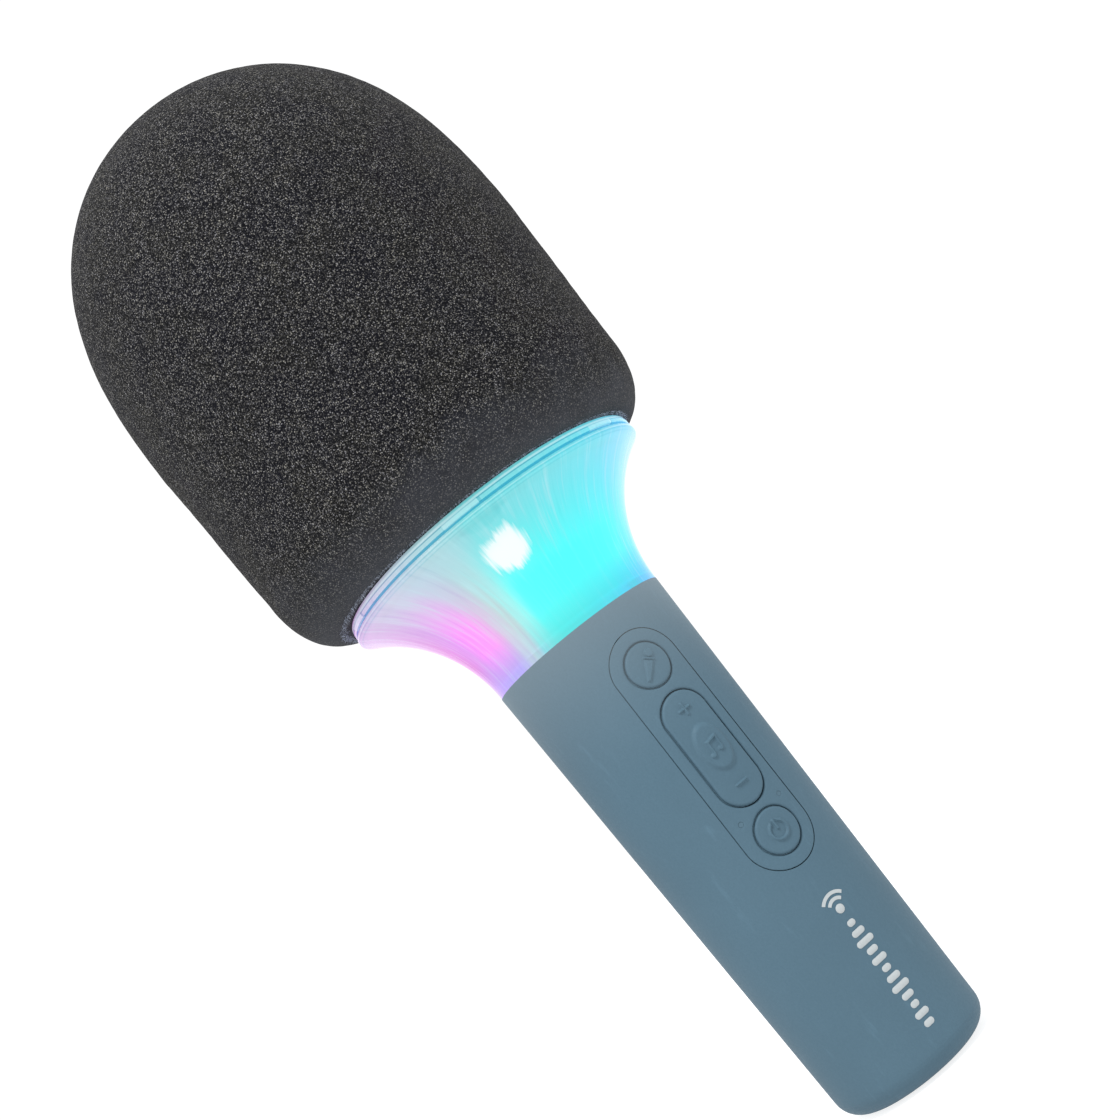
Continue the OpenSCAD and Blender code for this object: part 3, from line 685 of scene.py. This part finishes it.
def foam_material():
    """Open-cell foam: dark grey with short pale flecks where cell walls catch the light."""
    material, tree, shader = new_material("windscreen_foam")
    place = coordinates(tree)
    z = position(tree)[2]
    broad = noise_value(tree, place, 120, 2.0)
    grain = noise_value(tree, coordinates(tree, (0.02, 0.31, 0.12)), 3400, 2.0, 0.5)
    bend = add(tree, "TexNoise", {"Vector": place, "Scale": 1900.0, "Detail": 1.0})
    bent = mix(tree, 0.0004, place, bend.outputs["Color"], "ADD")
    cells = add(tree, "TexVoronoi", {"Vector": bent, "Scale": 3500.0})
    chance = add(tree, "SeparateColor", {0: cells.outputs["Color"]}).outputs[0]
    patch = remap(tree, broad, 0.40, 0.60, 0, 1)
    base = mix(tree, patch, (0.0046, 0.0048, 0.0078), (0.0074, 0.0074, 0.0078))
    base = mix(tree, remap(tree, grain, 0.40, 0.54, 1, 0), base, (0.0028, 0.0028, 0.0034))
    fleck = maths(tree, "MULTIPLY", remap(tree, cells.outputs["Distance"], 0.32, 0.52, 1, 0),
                  remap(tree, maths(tree, "POWER", chance, 2.5), 0, 1, 0.1, 1))
    # the rounded lower edge is smoother, and paler and bluer: painted glow of the cone's light
    uneven_z = maths(tree, "ADD", z, maths(tree, "MULTIPLY", broad, 0.012))
    low = remap(tree, uneven_z, (FOAM_Z + 4) * MM, (FOAM_Z + 18) * MM, 1, 0)
    fleck = maths(tree, "MULTIPLY", fleck, remap(tree, low, 0, 1, 1.0, 0.85))
    pale = mix(tree, remap(tree, grain, 0.45, 0.55, 0, 1),
               (0.19, 0.19, 0.205), (0.23, 0.222, 0.195))
    tone = mix(tree, fleck, base, pale)
    # painted glow: the lower edge mixed towards a pale bluish grey
    tone = mix(tree, maths(tree, "MULTIPLY", low, 0.6), tone, (0.053, 0.057, 0.066))
    tree.links.new(tone, shader.inputs["Base Color"])
    tree.links.new(remap(tree, grain, 0.3, 0.7, 1.0, 0.86), shader.inputs["Roughness"])
    shader.inputs["Specular IOR Level"].default_value = 0.05
    shader.inputs["Sheen Weight"].default_value = 0.015
    shader.inputs["Sheen Roughness"].default_value = 0.5
    height = maths(tree, "ADD", maths(tree, "MULTIPLY", grain, 0.5),
                   maths(tree, "MULTIPLY", fleck, 0.5))
    bump(tree, shader, height, 0.0004, 0.6)
    return material


def board_material(name, mask, track):
    """Circuit board: solder mask with copper tracks showing through and dull pads."""
    material, tree, shader = new_material(name)
    place = coordinates(tree)
    broad = noise_value(tree, place, 60, 3.0)
    fine = noise_value(tree, place, 2500, 2.0)
    cells = add(tree, "TexVoronoi", {"Vector": place, "Scale": 340.0}, feature="DISTANCE_TO_EDGE")
    tracks = remap(tree, cells.outputs["Distance"], 0.05, 0.09, 1, 0)
    dots = add(tree, "TexVoronoi", {"Vector": place, "Scale": 300.0})
    pads = remap(tree, dots.outputs["Distance"], 0.10, 0.14, 1, 0)
    base = mix(tree, remap(tree, broad, 0.35, 0.65, 0, 1), shade(mask, 0.85), shade(mask, 1.15))
    base = mix(tree, tracks, base, track)
    tone = mix(tree, pads, base, (0.55, 0.50, 0.36))
    tree.links.new(tone, shader.inputs["Base Color"])
    tree.links.new(remap(tree, fine, 0.3, 0.7, 0.32, 0.45), shader.inputs["Roughness"])
    bump(tree, shader, tracks, 0.00004, 0.6)
    return material


def led_material():
    """White LED packages, lit in the cone's colours by the side they face."""
    material, tree, shader = new_material("led_package")
    colour = glow(tree)[0]
    fine = noise_value(tree, coordinates(tree), 2600, 2.0)
    white = mix(tree, remap(tree, fine, 0.3, 0.7, 0, 1), (0.72, 0.72, 0.68), (0.82, 0.82, 0.8))
    tree.links.new(white, shader.inputs["Base Color"])
    tree.links.new(colour, shader.inputs["Emission Color"])
    shader.inputs["Emission Strength"].default_value = 0.6
    tree.links.new(remap(tree, fine, 0.3, 0.7, 0.25, 0.4), shader.inputs["Roughness"])
    bump(tree, shader, fine, 0.00002)
    return material


def wire_material():
    """Thin insulated wires: red, white and black ones side by side."""
    material, tree, shader = new_material("wire_sheath")
    x, y, _ = position(tree)
    fine = noise_value(tree, coordinates(tree), 2600, 2.0)
    which = noise_value(tree, add(tree, "CombineXYZ", {0: x, 1: y, 2: 0.0}).outputs[0], 260, 0.0)
    base = mix(tree, remap(tree, which, 0.47, 0.48, 0, 1),
               (0.012, 0.012, 0.013), (0.50, 0.022, 0.018))
    base = mix(tree, remap(tree, which, 0.56, 0.57, 0, 1), base, (0.62, 0.62, 0.6))
    tone = mix(tree, remap(tree, fine, 0.3, 0.7, 0, 0.3), base, (0.02, 0.02, 0.02))
    tree.links.new(tone, shader.inputs["Base Color"])
    tree.links.new(remap(tree, fine, 0.3, 0.7, 0.36, 0.48), shader.inputs["Roughness"])
    bump(tree, shader, fine, 0.00002)
    return material


def capsule_material():
    """Microphone capsule: drawn metal can with a round of dark felt in the middle of its top."""
    material, tree, shader = new_material("mic_capsule")
    x, y, z = position(tree)
    squares = maths(tree, "ADD", maths(tree, "POWER", x, 2.0), maths(tree, "POWER", y, 2.0))
    radius = maths(tree, "SQRT", squares)
    high = node_box("mic_capsule")[1]
    fine = noise_value(tree, coordinates(tree, scale=(1, 1, 0.1)), 3000, 3.0)
    top = remap(tree, z, (high.z - 0.5) * MM, (high.z - 0.3) * MM, 0, 1)
    inside = remap(tree, radius, high.x * 0.62 * MM, high.x * 0.66 * MM, 1, 0)
    felt = maths(tree, "MULTIPLY", top, inside)
    metal = mix(tree, remap(tree, fine, 0.3, 0.7, 0, 1), (0.46, 0.46, 0.47), (0.58, 0.58, 0.60))
    tree.links.new(mix(tree, felt, metal, (0.006, 0.006, 0.007)), shader.inputs["Base Color"])
    tree.links.new(remap(tree, felt, 0, 1, 1, 0), shader.inputs["Metallic"])
    rough = maths(tree, "ADD", remap(tree, fine, 0.3, 0.7, 0.24, 0.36),
                  maths(tree, "MULTIPLY", felt, 0.6))
    tree.links.new(rough, shader.inputs["Roughness"])
    bump(tree, shader, fine, 0.00003)
    return material


# ---------------------------------------------------------------- pieces
SLATE = linear(71, 95, 109)
SLATE_KEY = linear(70, 94, 108)
PAINTED_GLOW_REACH = 32
rubber = moulded("base_rubber", (0.012, 0.012, 0.014), 0.7, mottle=0.12, depth=0.00004)
steel = moulded("steel", (0.52, 0.53, 0.55), 0.3, mottle=0.05, metallic=1.0)
charcoal = moulded("charcoal_plastic", (0.024, 0.024, 0.026), 0.45, mottle=0.1)
black = moulded("black_plastic", (0.008, 0.008, 0.01), 0.4, mottle=0.1)


def lit_slate(name, colour, rough):
    """Slate plastic of the handle, with painted glow of the cone's light on it towards the neck."""
    material = moulded(name, colour, rough, mottle=0.03, specular=0.12)
    tree = material.node_tree
    shader = tree.nodes["Principled BSDF"]
    x, y, z = position(tree)
    # painted glow: the cone's light painted as emission on the handle near the neck, a little
    # weaker on one side
    near = remap(tree, z, (NECK_Z - PAINTED_GLOW_REACH) * MM, NECK_Z * MM, 0, 1)
    turned = maths(tree, "ADD", azimuth(tree, x, y), 1.0)
    side = remap(tree, maths(tree, "COSINE", turned), -0.2, 1, 1, 0.85)
    painted_glow = maths(tree, "MULTIPLY", maths(tree, "MULTIPLY", near, near), side)
    tree.links.new(mix(tree, painted_glow, (0, 0, 0), (0.95, 1.0, 1.0)), shader.inputs["Emission Color"])
    shader.inputs["Emission Strength"].default_value = 0.13
    return material


slate = lit_slate("slate_soft_touch", SLATE, 0.58)
slate_key = lit_slate("slate_key", SLATE_KEY, 0.55)


def crown(inset, half_w):
    """How proud a key's low crown stands, an inset in from the key's edge."""
    return KEY_PROUD + CROWN_H * np.clip(inset / half_w, 0, 1) ** 0.5


def place_round_keys():
    """The effect and power keys, each with its flange and the pusher behind it."""
    for name, body, z, glyph, flange_y in (
            ("effect_key", "effect_button", EFFECT_Z, mic_glyph, EFFECT_FLANGE_Y),
            ("power_key", "power_button", POWER_Z, power_glyph, POWER_FLANGE_Y)):
        def height(key_x, key_z, inset, glyph=glyph):
            return crown(inset, KEY_R) + embossed(glyph(key_x, key_z), GLYPH_H)

        flange_back_y = flange_y + FLANGE_H
        parts = joined(cap(z, KEY_R, 2 * KEY_R, height),
                       rod(0, -handle_r(z) - KEY_BACK, flange_back_y, z, KEY_R - KEY_STEM_IN),
                       rod(0, flange_y, flange_back_y, z, KEY_R + FLANGE_OUT),
                       rod(0, flange_back_y, PUSHER_END_Y, z, PUSHER_R))
        add_object(name, *parts, body, "slate_keys", slate_key, replaces=[body])


def place_rocker():
    """The long key, with a pad at its centre, two pivot ears and two posts behind it."""
    def height(x, z, inset):
        oval = (np.hypot(x / OVAL_HALF_W, z / OVAL_HALF_LEN) - 1) * OVAL_SCALE
        pad = embossed(oval, OVAL_H, OVAL_SOFT)
        signs = (plus_glyph(x, z - PLUS_Z), minus_glyph(x, z - MINUS_Z), note_glyph(x, z))
        return crown(inset, ROCKER_HALF_W) + pad + sum(embossed(sign, GLYPH_H) for sign in signs)

    parts = [cap(ROCKER_Z, ROCKER_HALF_W, ROCKER_LEN, height, tilt_room=ROCKER_TILT_ROOM)]
    for s in (-1, 1):
        parts.append(block((s * EAR_X - EAR_HALF_W, ROCKER_BACK_Y, ROCKER_Z - EAR_HALF_H),
                           (s * EAR_X + EAR_HALF_W, EAR_END_Y, ROCKER_Z + EAR_HALF_H)))
        parts.append(rod(0, ROCKER_BACK_Y, POST_END_Y, ROCKER_Z + s * POST_Z, POST_R))
    add_object("volume_key", *joined(*parts), "volume_rocker", "slate_keys", slate_key,
               replaces=["volume_rocker"])


def stadium_distance(x, z, half_w, length):
    """Signed distance to a stadium long along Z, less than 0 inside."""
    straight = length / 2 - half_w
    return np.hypot(x, np.maximum(np.abs(z) - straight, 0)) - half_w


def plate_holes():
    """Each hole in the keypad's plate: X, Z, half width, length and its edge's radius."""
    round_r = KEY_R + KEY_GAP
    holes = [(0, z, round_r, 2 * round_r, HOLE_EDGE) for z in (EFFECT_Z, POWER_Z)]
    holes.append((0, ROCKER_Z, ROCKER_HALF_W + KEY_GAP, ROCKER_LEN + 2 * KEY_GAP, HOLE_EDGE))
    return holes + [(s * LIGHT_X, LIGHT_Z, LIGHT_R, 2 * LIGHT_R, LIGHT_EDGE) for s in (-1, 1)]


def place_bezel():
    """The keypad's plate, its outline and the edge of each hole rounded."""
    holes = plate_holes()

    def edges(x, z):
        """Distances in from the plate's outline and out from each hole."""
        outer = -stadium_distance(x, z - BEZEL_Z, BEZEL_HALF_W, BEZEL_LEN)
        inner = [stadium_distance(x - hole_x, z - hole_z, half_w, length)
                 for hole_x, hole_z, half_w, length, _ in holes]
        return outer, inner

    def proud(x, z):
        outer, inner = edges(x, z)
        total = -rounded_drop(outer, BEZEL_EDGE)
        for distance, hole in zip(inner, holes):
            total = total - rounded_drop(distance, hole[4])
        return total

    # rings of linked points follow each edge, and a staggered grid fills the rest
    points, links = [], []
    outlines = [(0, BEZEL_Z, BEZEL_HALF_W, BEZEL_LEN, BEZEL_EDGE, 1)]
    outlines += [(*hole, -1) for hole in holes]
    for x, z, half_w, length, edge, side in outlines:
        rows = stadium(half_w, length - 2 * half_w, 0.35 if half_w > 1 else 0.12)
        for lean in range(0, 91, 18):
            inset = side * edge * (1 - math.cos(math.radians(lean)))
            ring = np.stack(inset_outline(rows, half_w, inset, x, z), 1)
            first = len(points)
            points += ring.tolist()
            links += [(first + i, first + (i + 1) % len(ring)) for i in range(len(ring))]
    for i in range(int(2 * BEZEL_HALF_W / GRID_STEP) + 1):
        for j in range(int(BEZEL_LEN / GRID_STEP) + 1):
            x = -BEZEL_HALF_W + i * GRID_STEP
            z = BEZEL_Z - BEZEL_LEN / 2 + (j + 0.5 * (i % 2)) * GRID_STEP
            outer, inner = edges(x, z)
            if outer > GRID_TO_OUTLINE and min(inner) > GRID_TO_HOLE:
                points.append([x, z])
    flat, _, triangles, *_ = delaunay_2d_cdt([Vector(p) for p in points], links, [], 0, 1e-5)
    flat = np.array([tuple(p) for p in flat])
    centres = flat[np.array(triangles)].mean(1)
    outer, inner = edges(centres[:, 0], centres[:, 1])
    keep = (outer > 0) & (np.min(inner, 0) > 0)
    triangles = [t for t, k in zip(triangles, keep) if k]
    count = len(flat)
    front = on_handle(flat[:, 0], flat[:, 1], proud(flat[:, 0], flat[:, 1]))
    back = on_handle(flat[:, 0], flat[:, 1], np.full(count, -BEZEL_THICK))
    # an edge that only one triangle has is an edge of the plate, and gets a wall
    sides = {}
    for a, b, c in triangles:
        for e in ((a, b), (b, c), (c, a)):
            sides[frozenset(e)] = sides.get(frozenset(e), []) + [e]
    borders = [found[0] for found in sides.values() if len(found) == 1]
    walls = [(b, a, a + count, b + count) for a, b in borders]
    faces = list(triangles) + [tuple(i + count for i in reversed(t)) for t in triangles] + walls
    add_object("keypad_plate", np.concatenate([front, back]), faces, "handle", "slate_bezel", slate,
               replaces=["keypad_bezel"])


def print_bar(z, wide, tall):
    """A flat pill on the handle, wide along X and tall along Z."""
    half = tall / 2
    rows = stadium(half, wide - tall, 0.15)
    rings = []
    for inset, proud in ((half, PRINT_ROOT), (0, PRINT_ROOT), (0, PRINT_EDGE),
                         (PRINT_EDGE, PRINT_FACE), (half, PRINT_FACE)):
        # the stadium's long axis is turned to lie along X
        pz, px = inset_outline(rows, half, inset, z, 0)
        rings.append(on_handle(px, pz, proud))
    return np.concatenate(rings), tube_faces(len(rings), len(rows))


def print_wave(radius):
    """A flat arc above the dot, just over a quarter of a turn long."""
    turn = np.radians(np.linspace(42, 138, WAVE_STEPS))
    inner, outer = radius - WAVE_HALF_W, radius + WAVE_HALF_W
    rings = []
    for r, proud in ((inner, PRINT_ROOT), (inner, PRINT_FACE),
                     (outer, PRINT_FACE), (outer, PRINT_ROOT)):
        rings.append(on_handle(r * np.cos(turn), DOT_Z + r * np.sin(turn), proud))
    n = WAVE_STEPS
    faces = tube_faces(4, n, closed_around=False, closed_along=True)
    faces += [(0, n, 2 * n, 3 * n), (4 * n - 1, 3 * n - 1, 2 * n - 1, n - 1)]
    return np.concatenate(rings), faces


def place_print():
    """A generic sound mark and level bars, printed down the lower grip."""
    parts = [print_bar(BAR_TOP_Z - i * BAR_PITCH, wide, BAR_TALL)
             for i, wide in enumerate(BAR_WIDTHS)]
    parts.append(print_bar(DOT_Z, DOT_WIDE, DOT_TALL))
    parts += [print_wave(radius) for radius in WAVE_RADII]
    ink = moulded("pale_print", linear(160, 166, 168), 0.5, mottle=0.03, specular=0.3)
    add_object("level_print", *joined(*parts), "handle", "slate_shell", ink)


def place_cone():
    """The clear flared cone, with its spigot down inside the handle's neck."""
    clear = clear_material("clear_cone", 0.45, 0.3)
    profile = [(CONE_BORE_R, NECK_Z), (SPIGOT_IN_R, NECK_Z), (SPIGOT_IN_R, CONE_LOW),
               (SPIGOT_OUT_R, CONE_LOW), (SPIGOT_OUT_R, NECK_Z)]
    profile += flare(0, 0, FLARE_H - 0.1, CONE_ROWS)
    profile += arc(LIP_R - 0.5, LIP_Z + 0.6, 0.5, -60, 0, 5)
    profile += arc(LIP_R - 0.25, CONE_TOP - 0.25, 0.25, 0, 90, 4)
    profile += flare(CONE_WALL, CONE_FLOOR, CONE_TOP - NECK_Z, CONE_ROWS)[::-1]
    profile += [(CONE_BORE_R, NECK_Z + CONE_FLOOR)]
    add_object("light_cone_clear", *lathe(profile, CONE_SIDES), "handle", "clear_plastic", clear,
               replaces=["light_cone"])


def place_diffuser():
    """The milky diffuser, a thin flared wall just inside the cone."""
    inset = CONE_WALL + DIFFUSER_GAP
    high = DIFFUSER_TOP - NECK_Z
    outside = flare(inset, CONE_FLOOR, high, DIFFUSER_ROWS)
    inside = flare(inset + DIFFUSER_WALL, CONE_FLOOR, high, DIFFUSER_ROWS)
    add_object("milky_diffuser", *lathe(outside + inside[::-1], CONE_SIDES), "handle",
               "milky_diffuser", glow_material(), replaces=["diffuser"])


def place_ring():
    """The clear clamp ring over the cone, with a groove under it and raised tabs round it."""
    clear = clear_material("clear_ring", 0.52, 0.15, ring=True)
    groove_r = LIP_R - GROOVE_DEEP - 0.1
    z = CONE_TOP + GROOVE_H
    profile = [(RING_IN_R, CONE_TOP), (groove_r, CONE_TOP), (groove_r, z), (LIP_R - 0.5, z)]
    profile += arc(LIP_R - 0.4, z + 0.2, 0.2, -90, 0, 3)
    profile += [(LIP_R - 0.2, z + 0.85), (LIP_R - 0.3, z + 0.95)]
    profile += arc(LIP_R - 1.1, RING_TOP - 0.8, 0.8, 0, 90, 8) + [(RING_IN_R, RING_TOP)]
    points, faces = lathe(profile, RING_SIDES)
    # places of tabs are measured from -Y, and points are counted from +X
    turn = ((np.arange(len(points)) % RING_SIDES) / RING_SIDES + 0.25) * TAB_COUNT % 1
    radius, height = np.hypot(points[:, 0], points[:, 1]), points[:, 2]
    raised = (np.abs(turn - TAB_PLACE) < TAB_HALF) & (radius > LIP_R - 0.6)
    raised &= (height > z + 0.15) & (height < z + 0.9)
    points[raised, :2] *= 1 + TAB_PROUD / LIP_R
    add_object("clamp_ring_clear", points, faces, "handle", "clear_plastic", clear,
               replaces=["clamp_ring"])


def dome(r, z, height, steps):
    """Profile of a dome that is rounder at its shoulder than an ellipse."""
    angles = np.radians(np.linspace(0, 90, steps + 1))
    return [(r * math.cos(a), z + height * math.sin(a) ** (2 / DOME_POWER)) for a in angles]


def foam_lip(lean):
    """Radius and height on the foam's rounded lower edge, lean being -90 degrees at its foot."""
    return (FOAM_LOW_R - FOAM_LIP_W + FOAM_LIP_W * math.cos(lean),
            FOAM_Z + FOAM_LIP_H * (1 + math.sin(lean)))


def place_foam():
    """The foam cover: its outside gently uneven, its inside a close fit on the basket."""
    outer = [foam_lip(a) for a in np.radians(np.linspace(-90, 0, LIP_ROWS))]
    outer += list(zip(np.linspace(FOAM_LOW_R, FOAM_R, SIDE_ROWS)[1:-1],
                      np.linspace(FOAM_Z + FOAM_LIP_H, FOAM_WIDE_Z, SIDE_ROWS)[1:-1]))
    outer += dome(FOAM_R, FOAM_WIDE_Z, FOAM_TOP - FOAM_WIDE_Z, DOME_ROWS)
    # the dome ends on the axis
    outer[-1] = (0.0, FOAM_TOP)
    inner = [(BASKET_R + BASKET_CLEAR, FOAM_Z)]
    inner += dome(BASKET_SHOULDER_R + BASKET_CLEAR, BASKET_SHOULDER_Z,
                  BASKET_TOP + BASKET_CLEAR - BASKET_SHOULDER_Z, BASKET_ROWS)
    inner[-1] = (0.0, inner[-1][1])
    points, faces = lathe(outer + inner[::-1], FOAM_SIDES)
    shape = points.reshape(-1, FOAM_SIDES, 3)
    for ring in shape[:len(outer) - 1]:
        for p in ring:
            n = sum(noise.noise(Vector(p) * scale) * height for scale, height in FOAM_BUMPS)
            p[:2] *= 1 + n / max(math.hypot(p[0], p[1]), 4)
    # the soft cover sits a little off the axis
    shape[:len(outer)] += FOAM_SHIFT
    piece = add_object("foam_cover", points, faces, "foam_windscreen", "windscreen_foam",
                       foam_material(), sharp=60, replaces=["foam_windscreen"])


STRAND_FACES = tube_faces(3, 3) + [(0, 1, 2), (6, 7, 8)]


def strand(root, way, side, length, thick):
    """Points of a tapering three-sided strand, bent to one side, its root sunk in the foam."""
    points = []
    across = np.cross(way, side)
    for share, width in ((-0.3, 1.0), (0.5, 0.8), (1.0, 0.15)):
        middle = root + way * length * share + side * (0.12 * length * share * share)
        for a in (0, 2 * math.pi / 3, 4 * math.pi / 3):
            points.append(middle + thick * width * (side * math.cos(a) + across * math.sin(a)))
    return points


def place_fuzz():
    """Short stray cell walls along the foam's lower edge, where it meets the ring."""
    rng = random.Random(41)
    up = np.array([0, 0, 1.0])
    points, faces = [], []
    for _ in range(FUZZ_COUNT):
        turn = rng.uniform(0, 2 * math.pi)
        lean = math.radians(FUZZ_LEAN + FUZZ_LEAN_SPAN * rng.random() ** 1.5)
        # the root lies just inside the foam's surface
        r = FOAM_LOW_R - FOAM_LIP_W + FOAM_LIP_W * math.cos(lean) * 0.99
        z = FOAM_Z + FOAM_LIP_H * (1 + math.sin(lean)) + 0.02
        length = 0.25 + 0.75 * rng.random() ** 2
        thick = rng.uniform(0.014, 0.03)
        swing = rng.uniform(-0.7, 0.7)
        radial = np.array([math.cos(turn), math.sin(turn), 0])
        side = np.array([-math.sin(turn), math.cos(turn), 0])
        outward = math.cos(lean) * 0.6 + rng.uniform(-0.6, 1.0)
        way = radial * outward + up * math.sin(lean) * 0.5 + side * swing
        way /= np.linalg.norm(way)
        faces += [tuple(len(points) + i for i in face) for face in STRAND_FACES]
        points += strand(radial * r + up * z + FOAM_SHIFT, way, side, length, thick)
    # painted glow of the cone's light: the strands' pale bluish colour and their faint bluish
    # emission
    material = moulded("foam_strands", (0.30, 0.33, 0.40), 0.8, mottle=0.3, specular=0.2)
    shader = material.node_tree.nodes["Principled BSDF"]
    shader.inputs["Emission Color"].default_value = (0.62, 0.78, 1.0, 1)
    shader.inputs["Emission Strength"].default_value = 0.09
    add_object("foam_fuzz", np.array(points), faces, "foam_windscreen", "windscreen_foam", material)


def place_floor():
    """A plain pale floor, round so that it has no corners in view."""
    turn = [2 * math.pi * i / FLOOR_SIDES for i in range(FLOOR_SIDES)]
    ring = [(FLOOR_R * math.cos(a), FLOOR_R * math.sin(a), 0) for a in turn]
    mesh = bpy.data.meshes.new("floor")
    mesh.from_pydata(ring, [], [tuple(range(FLOOR_SIDES))])
    floor = bpy.data.objects.new("floor", mesh)
    bpy.context.scene.collection.objects.link(floor)
    floor.location.z = -FLOOR_DROP
    material, tree, shader = new_material("floor_pale")
    tone = noise_value(tree, coordinates(tree), 3, 2.0)
    grey = mix(tree, tone, (0.34, 0.34, 0.34), (0.36, 0.36, 0.36))
    tree.links.new(grey, shader.inputs["Base Color"])
    shader.inputs["Roughness"].default_value = 0.9
    shader.inputs["Emission Color"].default_value = (1, 1, 1, 1)
    shader.inputs["Emission Strength"].default_value = 0.8
    shader.inputs["Specular IOR Level"].default_value = 0.1
    mesh.materials.append(material)


def place_lights():
    """A white world and three soft round lights, aimed at the handle. Places are in metres."""
    world = bpy.data.worlds.new("studio")
    bpy.context.scene.world = world
    world.use_nodes = True
    background = world.node_tree.nodes["Background"]
    background.inputs["Color"].default_value = (1, 1, 1, 1)
    background.inputs["Strength"].default_value = 1.06
    aim = Vector((0, 0, 0.1))
    for name, place, size, power in (("key", (-0.35, -0.6, 1.3), 0.35, 16),
                                     ("fill", (-0.9, -0.5, 0.7), 0.6, 3),
                                     ("side", (0.9, -0.3, 0.35), 0.5, 1.9)):
        data = bpy.data.lights.new(name, "AREA")
        data.shape = "DISK"
        data.size = size
        data.energy = power
        lamp = bpy.data.objects.new(name, data)
        # the side light would show as a pale blob on the cone
        lamp.visible_glossy = name != "side"
        bpy.context.scene.collection.objects.link(lamp)
        lamp.location = place
        lamp.rotation_mode = "QUATERNION"
        lamp.rotation_quaternion = (aim - Vector(place)).to_track_quat("-Z", "Y")
    settings = bpy.context.scene.view_settings
    settings.view_transform = "Standard"
    settings.look = "None"


def dress(material, *nodes):
    """Gives CAD nodes a material, leaving their meshes as they are."""
    for name in nodes:
        materials = NODES[name].data.materials
        materials.clear()
        materials.append(material)


make_camera()
place_floor()
place_lights()
dress(slate, "handle_shell")
dress(rubber, "base_pad", "speaker_surround", "capsule_boot", "capsule_cable")
dress(steel, "base_screws", "neck_screws", "baffle_screws", "usb_c_port")
dress(charcoal, "chassis", "baffle_plate", "basket_rings", "basket_ribs", "basket_dome")
dress(black, "tact_switches", "mode_plunger", "board_chips", "board_header", "speaker_frame")
dress(moulded("light_pipe", SLATE, 0.6, mottle=0.02, specular=0.2), "status_light_pipes")
dress(moulded("nickel", (0.60, 0.57, 0.50), 0.28, mottle=0.08, metallic=1.0), "battery_contacts")
dress(moulded("ferrite", (0.030, 0.030, 0.032), 0.75, mottle=0.2, depth=0.00006), "speaker_magnet")
dress(moulded("speaker_paper", (0.020, 0.020, 0.022), 0.85, mottle=0.25, grain=1500, depth=0.00006),
      "speaker_diaphragm")
dress(moulded("cell_wrap", linear(64, 112, 150), 0.3, mottle=0.06, scuff=0.12, coat=0.3),
      "battery_cell")
dress(moulded("nylon", linear(226, 222, 204), 0.5, mottle=0.04), "cable_connector")
dress(moulded("status_led", linear(232, 230, 214), 0.3, mottle=0.05), "status_leds")
dress(board_material("board_green", (0.010, 0.085, 0.030), (0.020, 0.16, 0.055)),
      "main_board", "button_board")
dress(board_material("board_white", (0.72, 0.72, 0.70), (0.60, 0.60, 0.57)), "led_board")
dress(led_material(), "rgb_leds")
dress(wire_material(), "wire_harness")
dress(capsule_material(), "mic_capsule")
place_round_keys()
place_rocker()
place_bezel()
place_print()
place_cone()
place_diffuser()
place_ring()
place_foam()
place_fuzz()
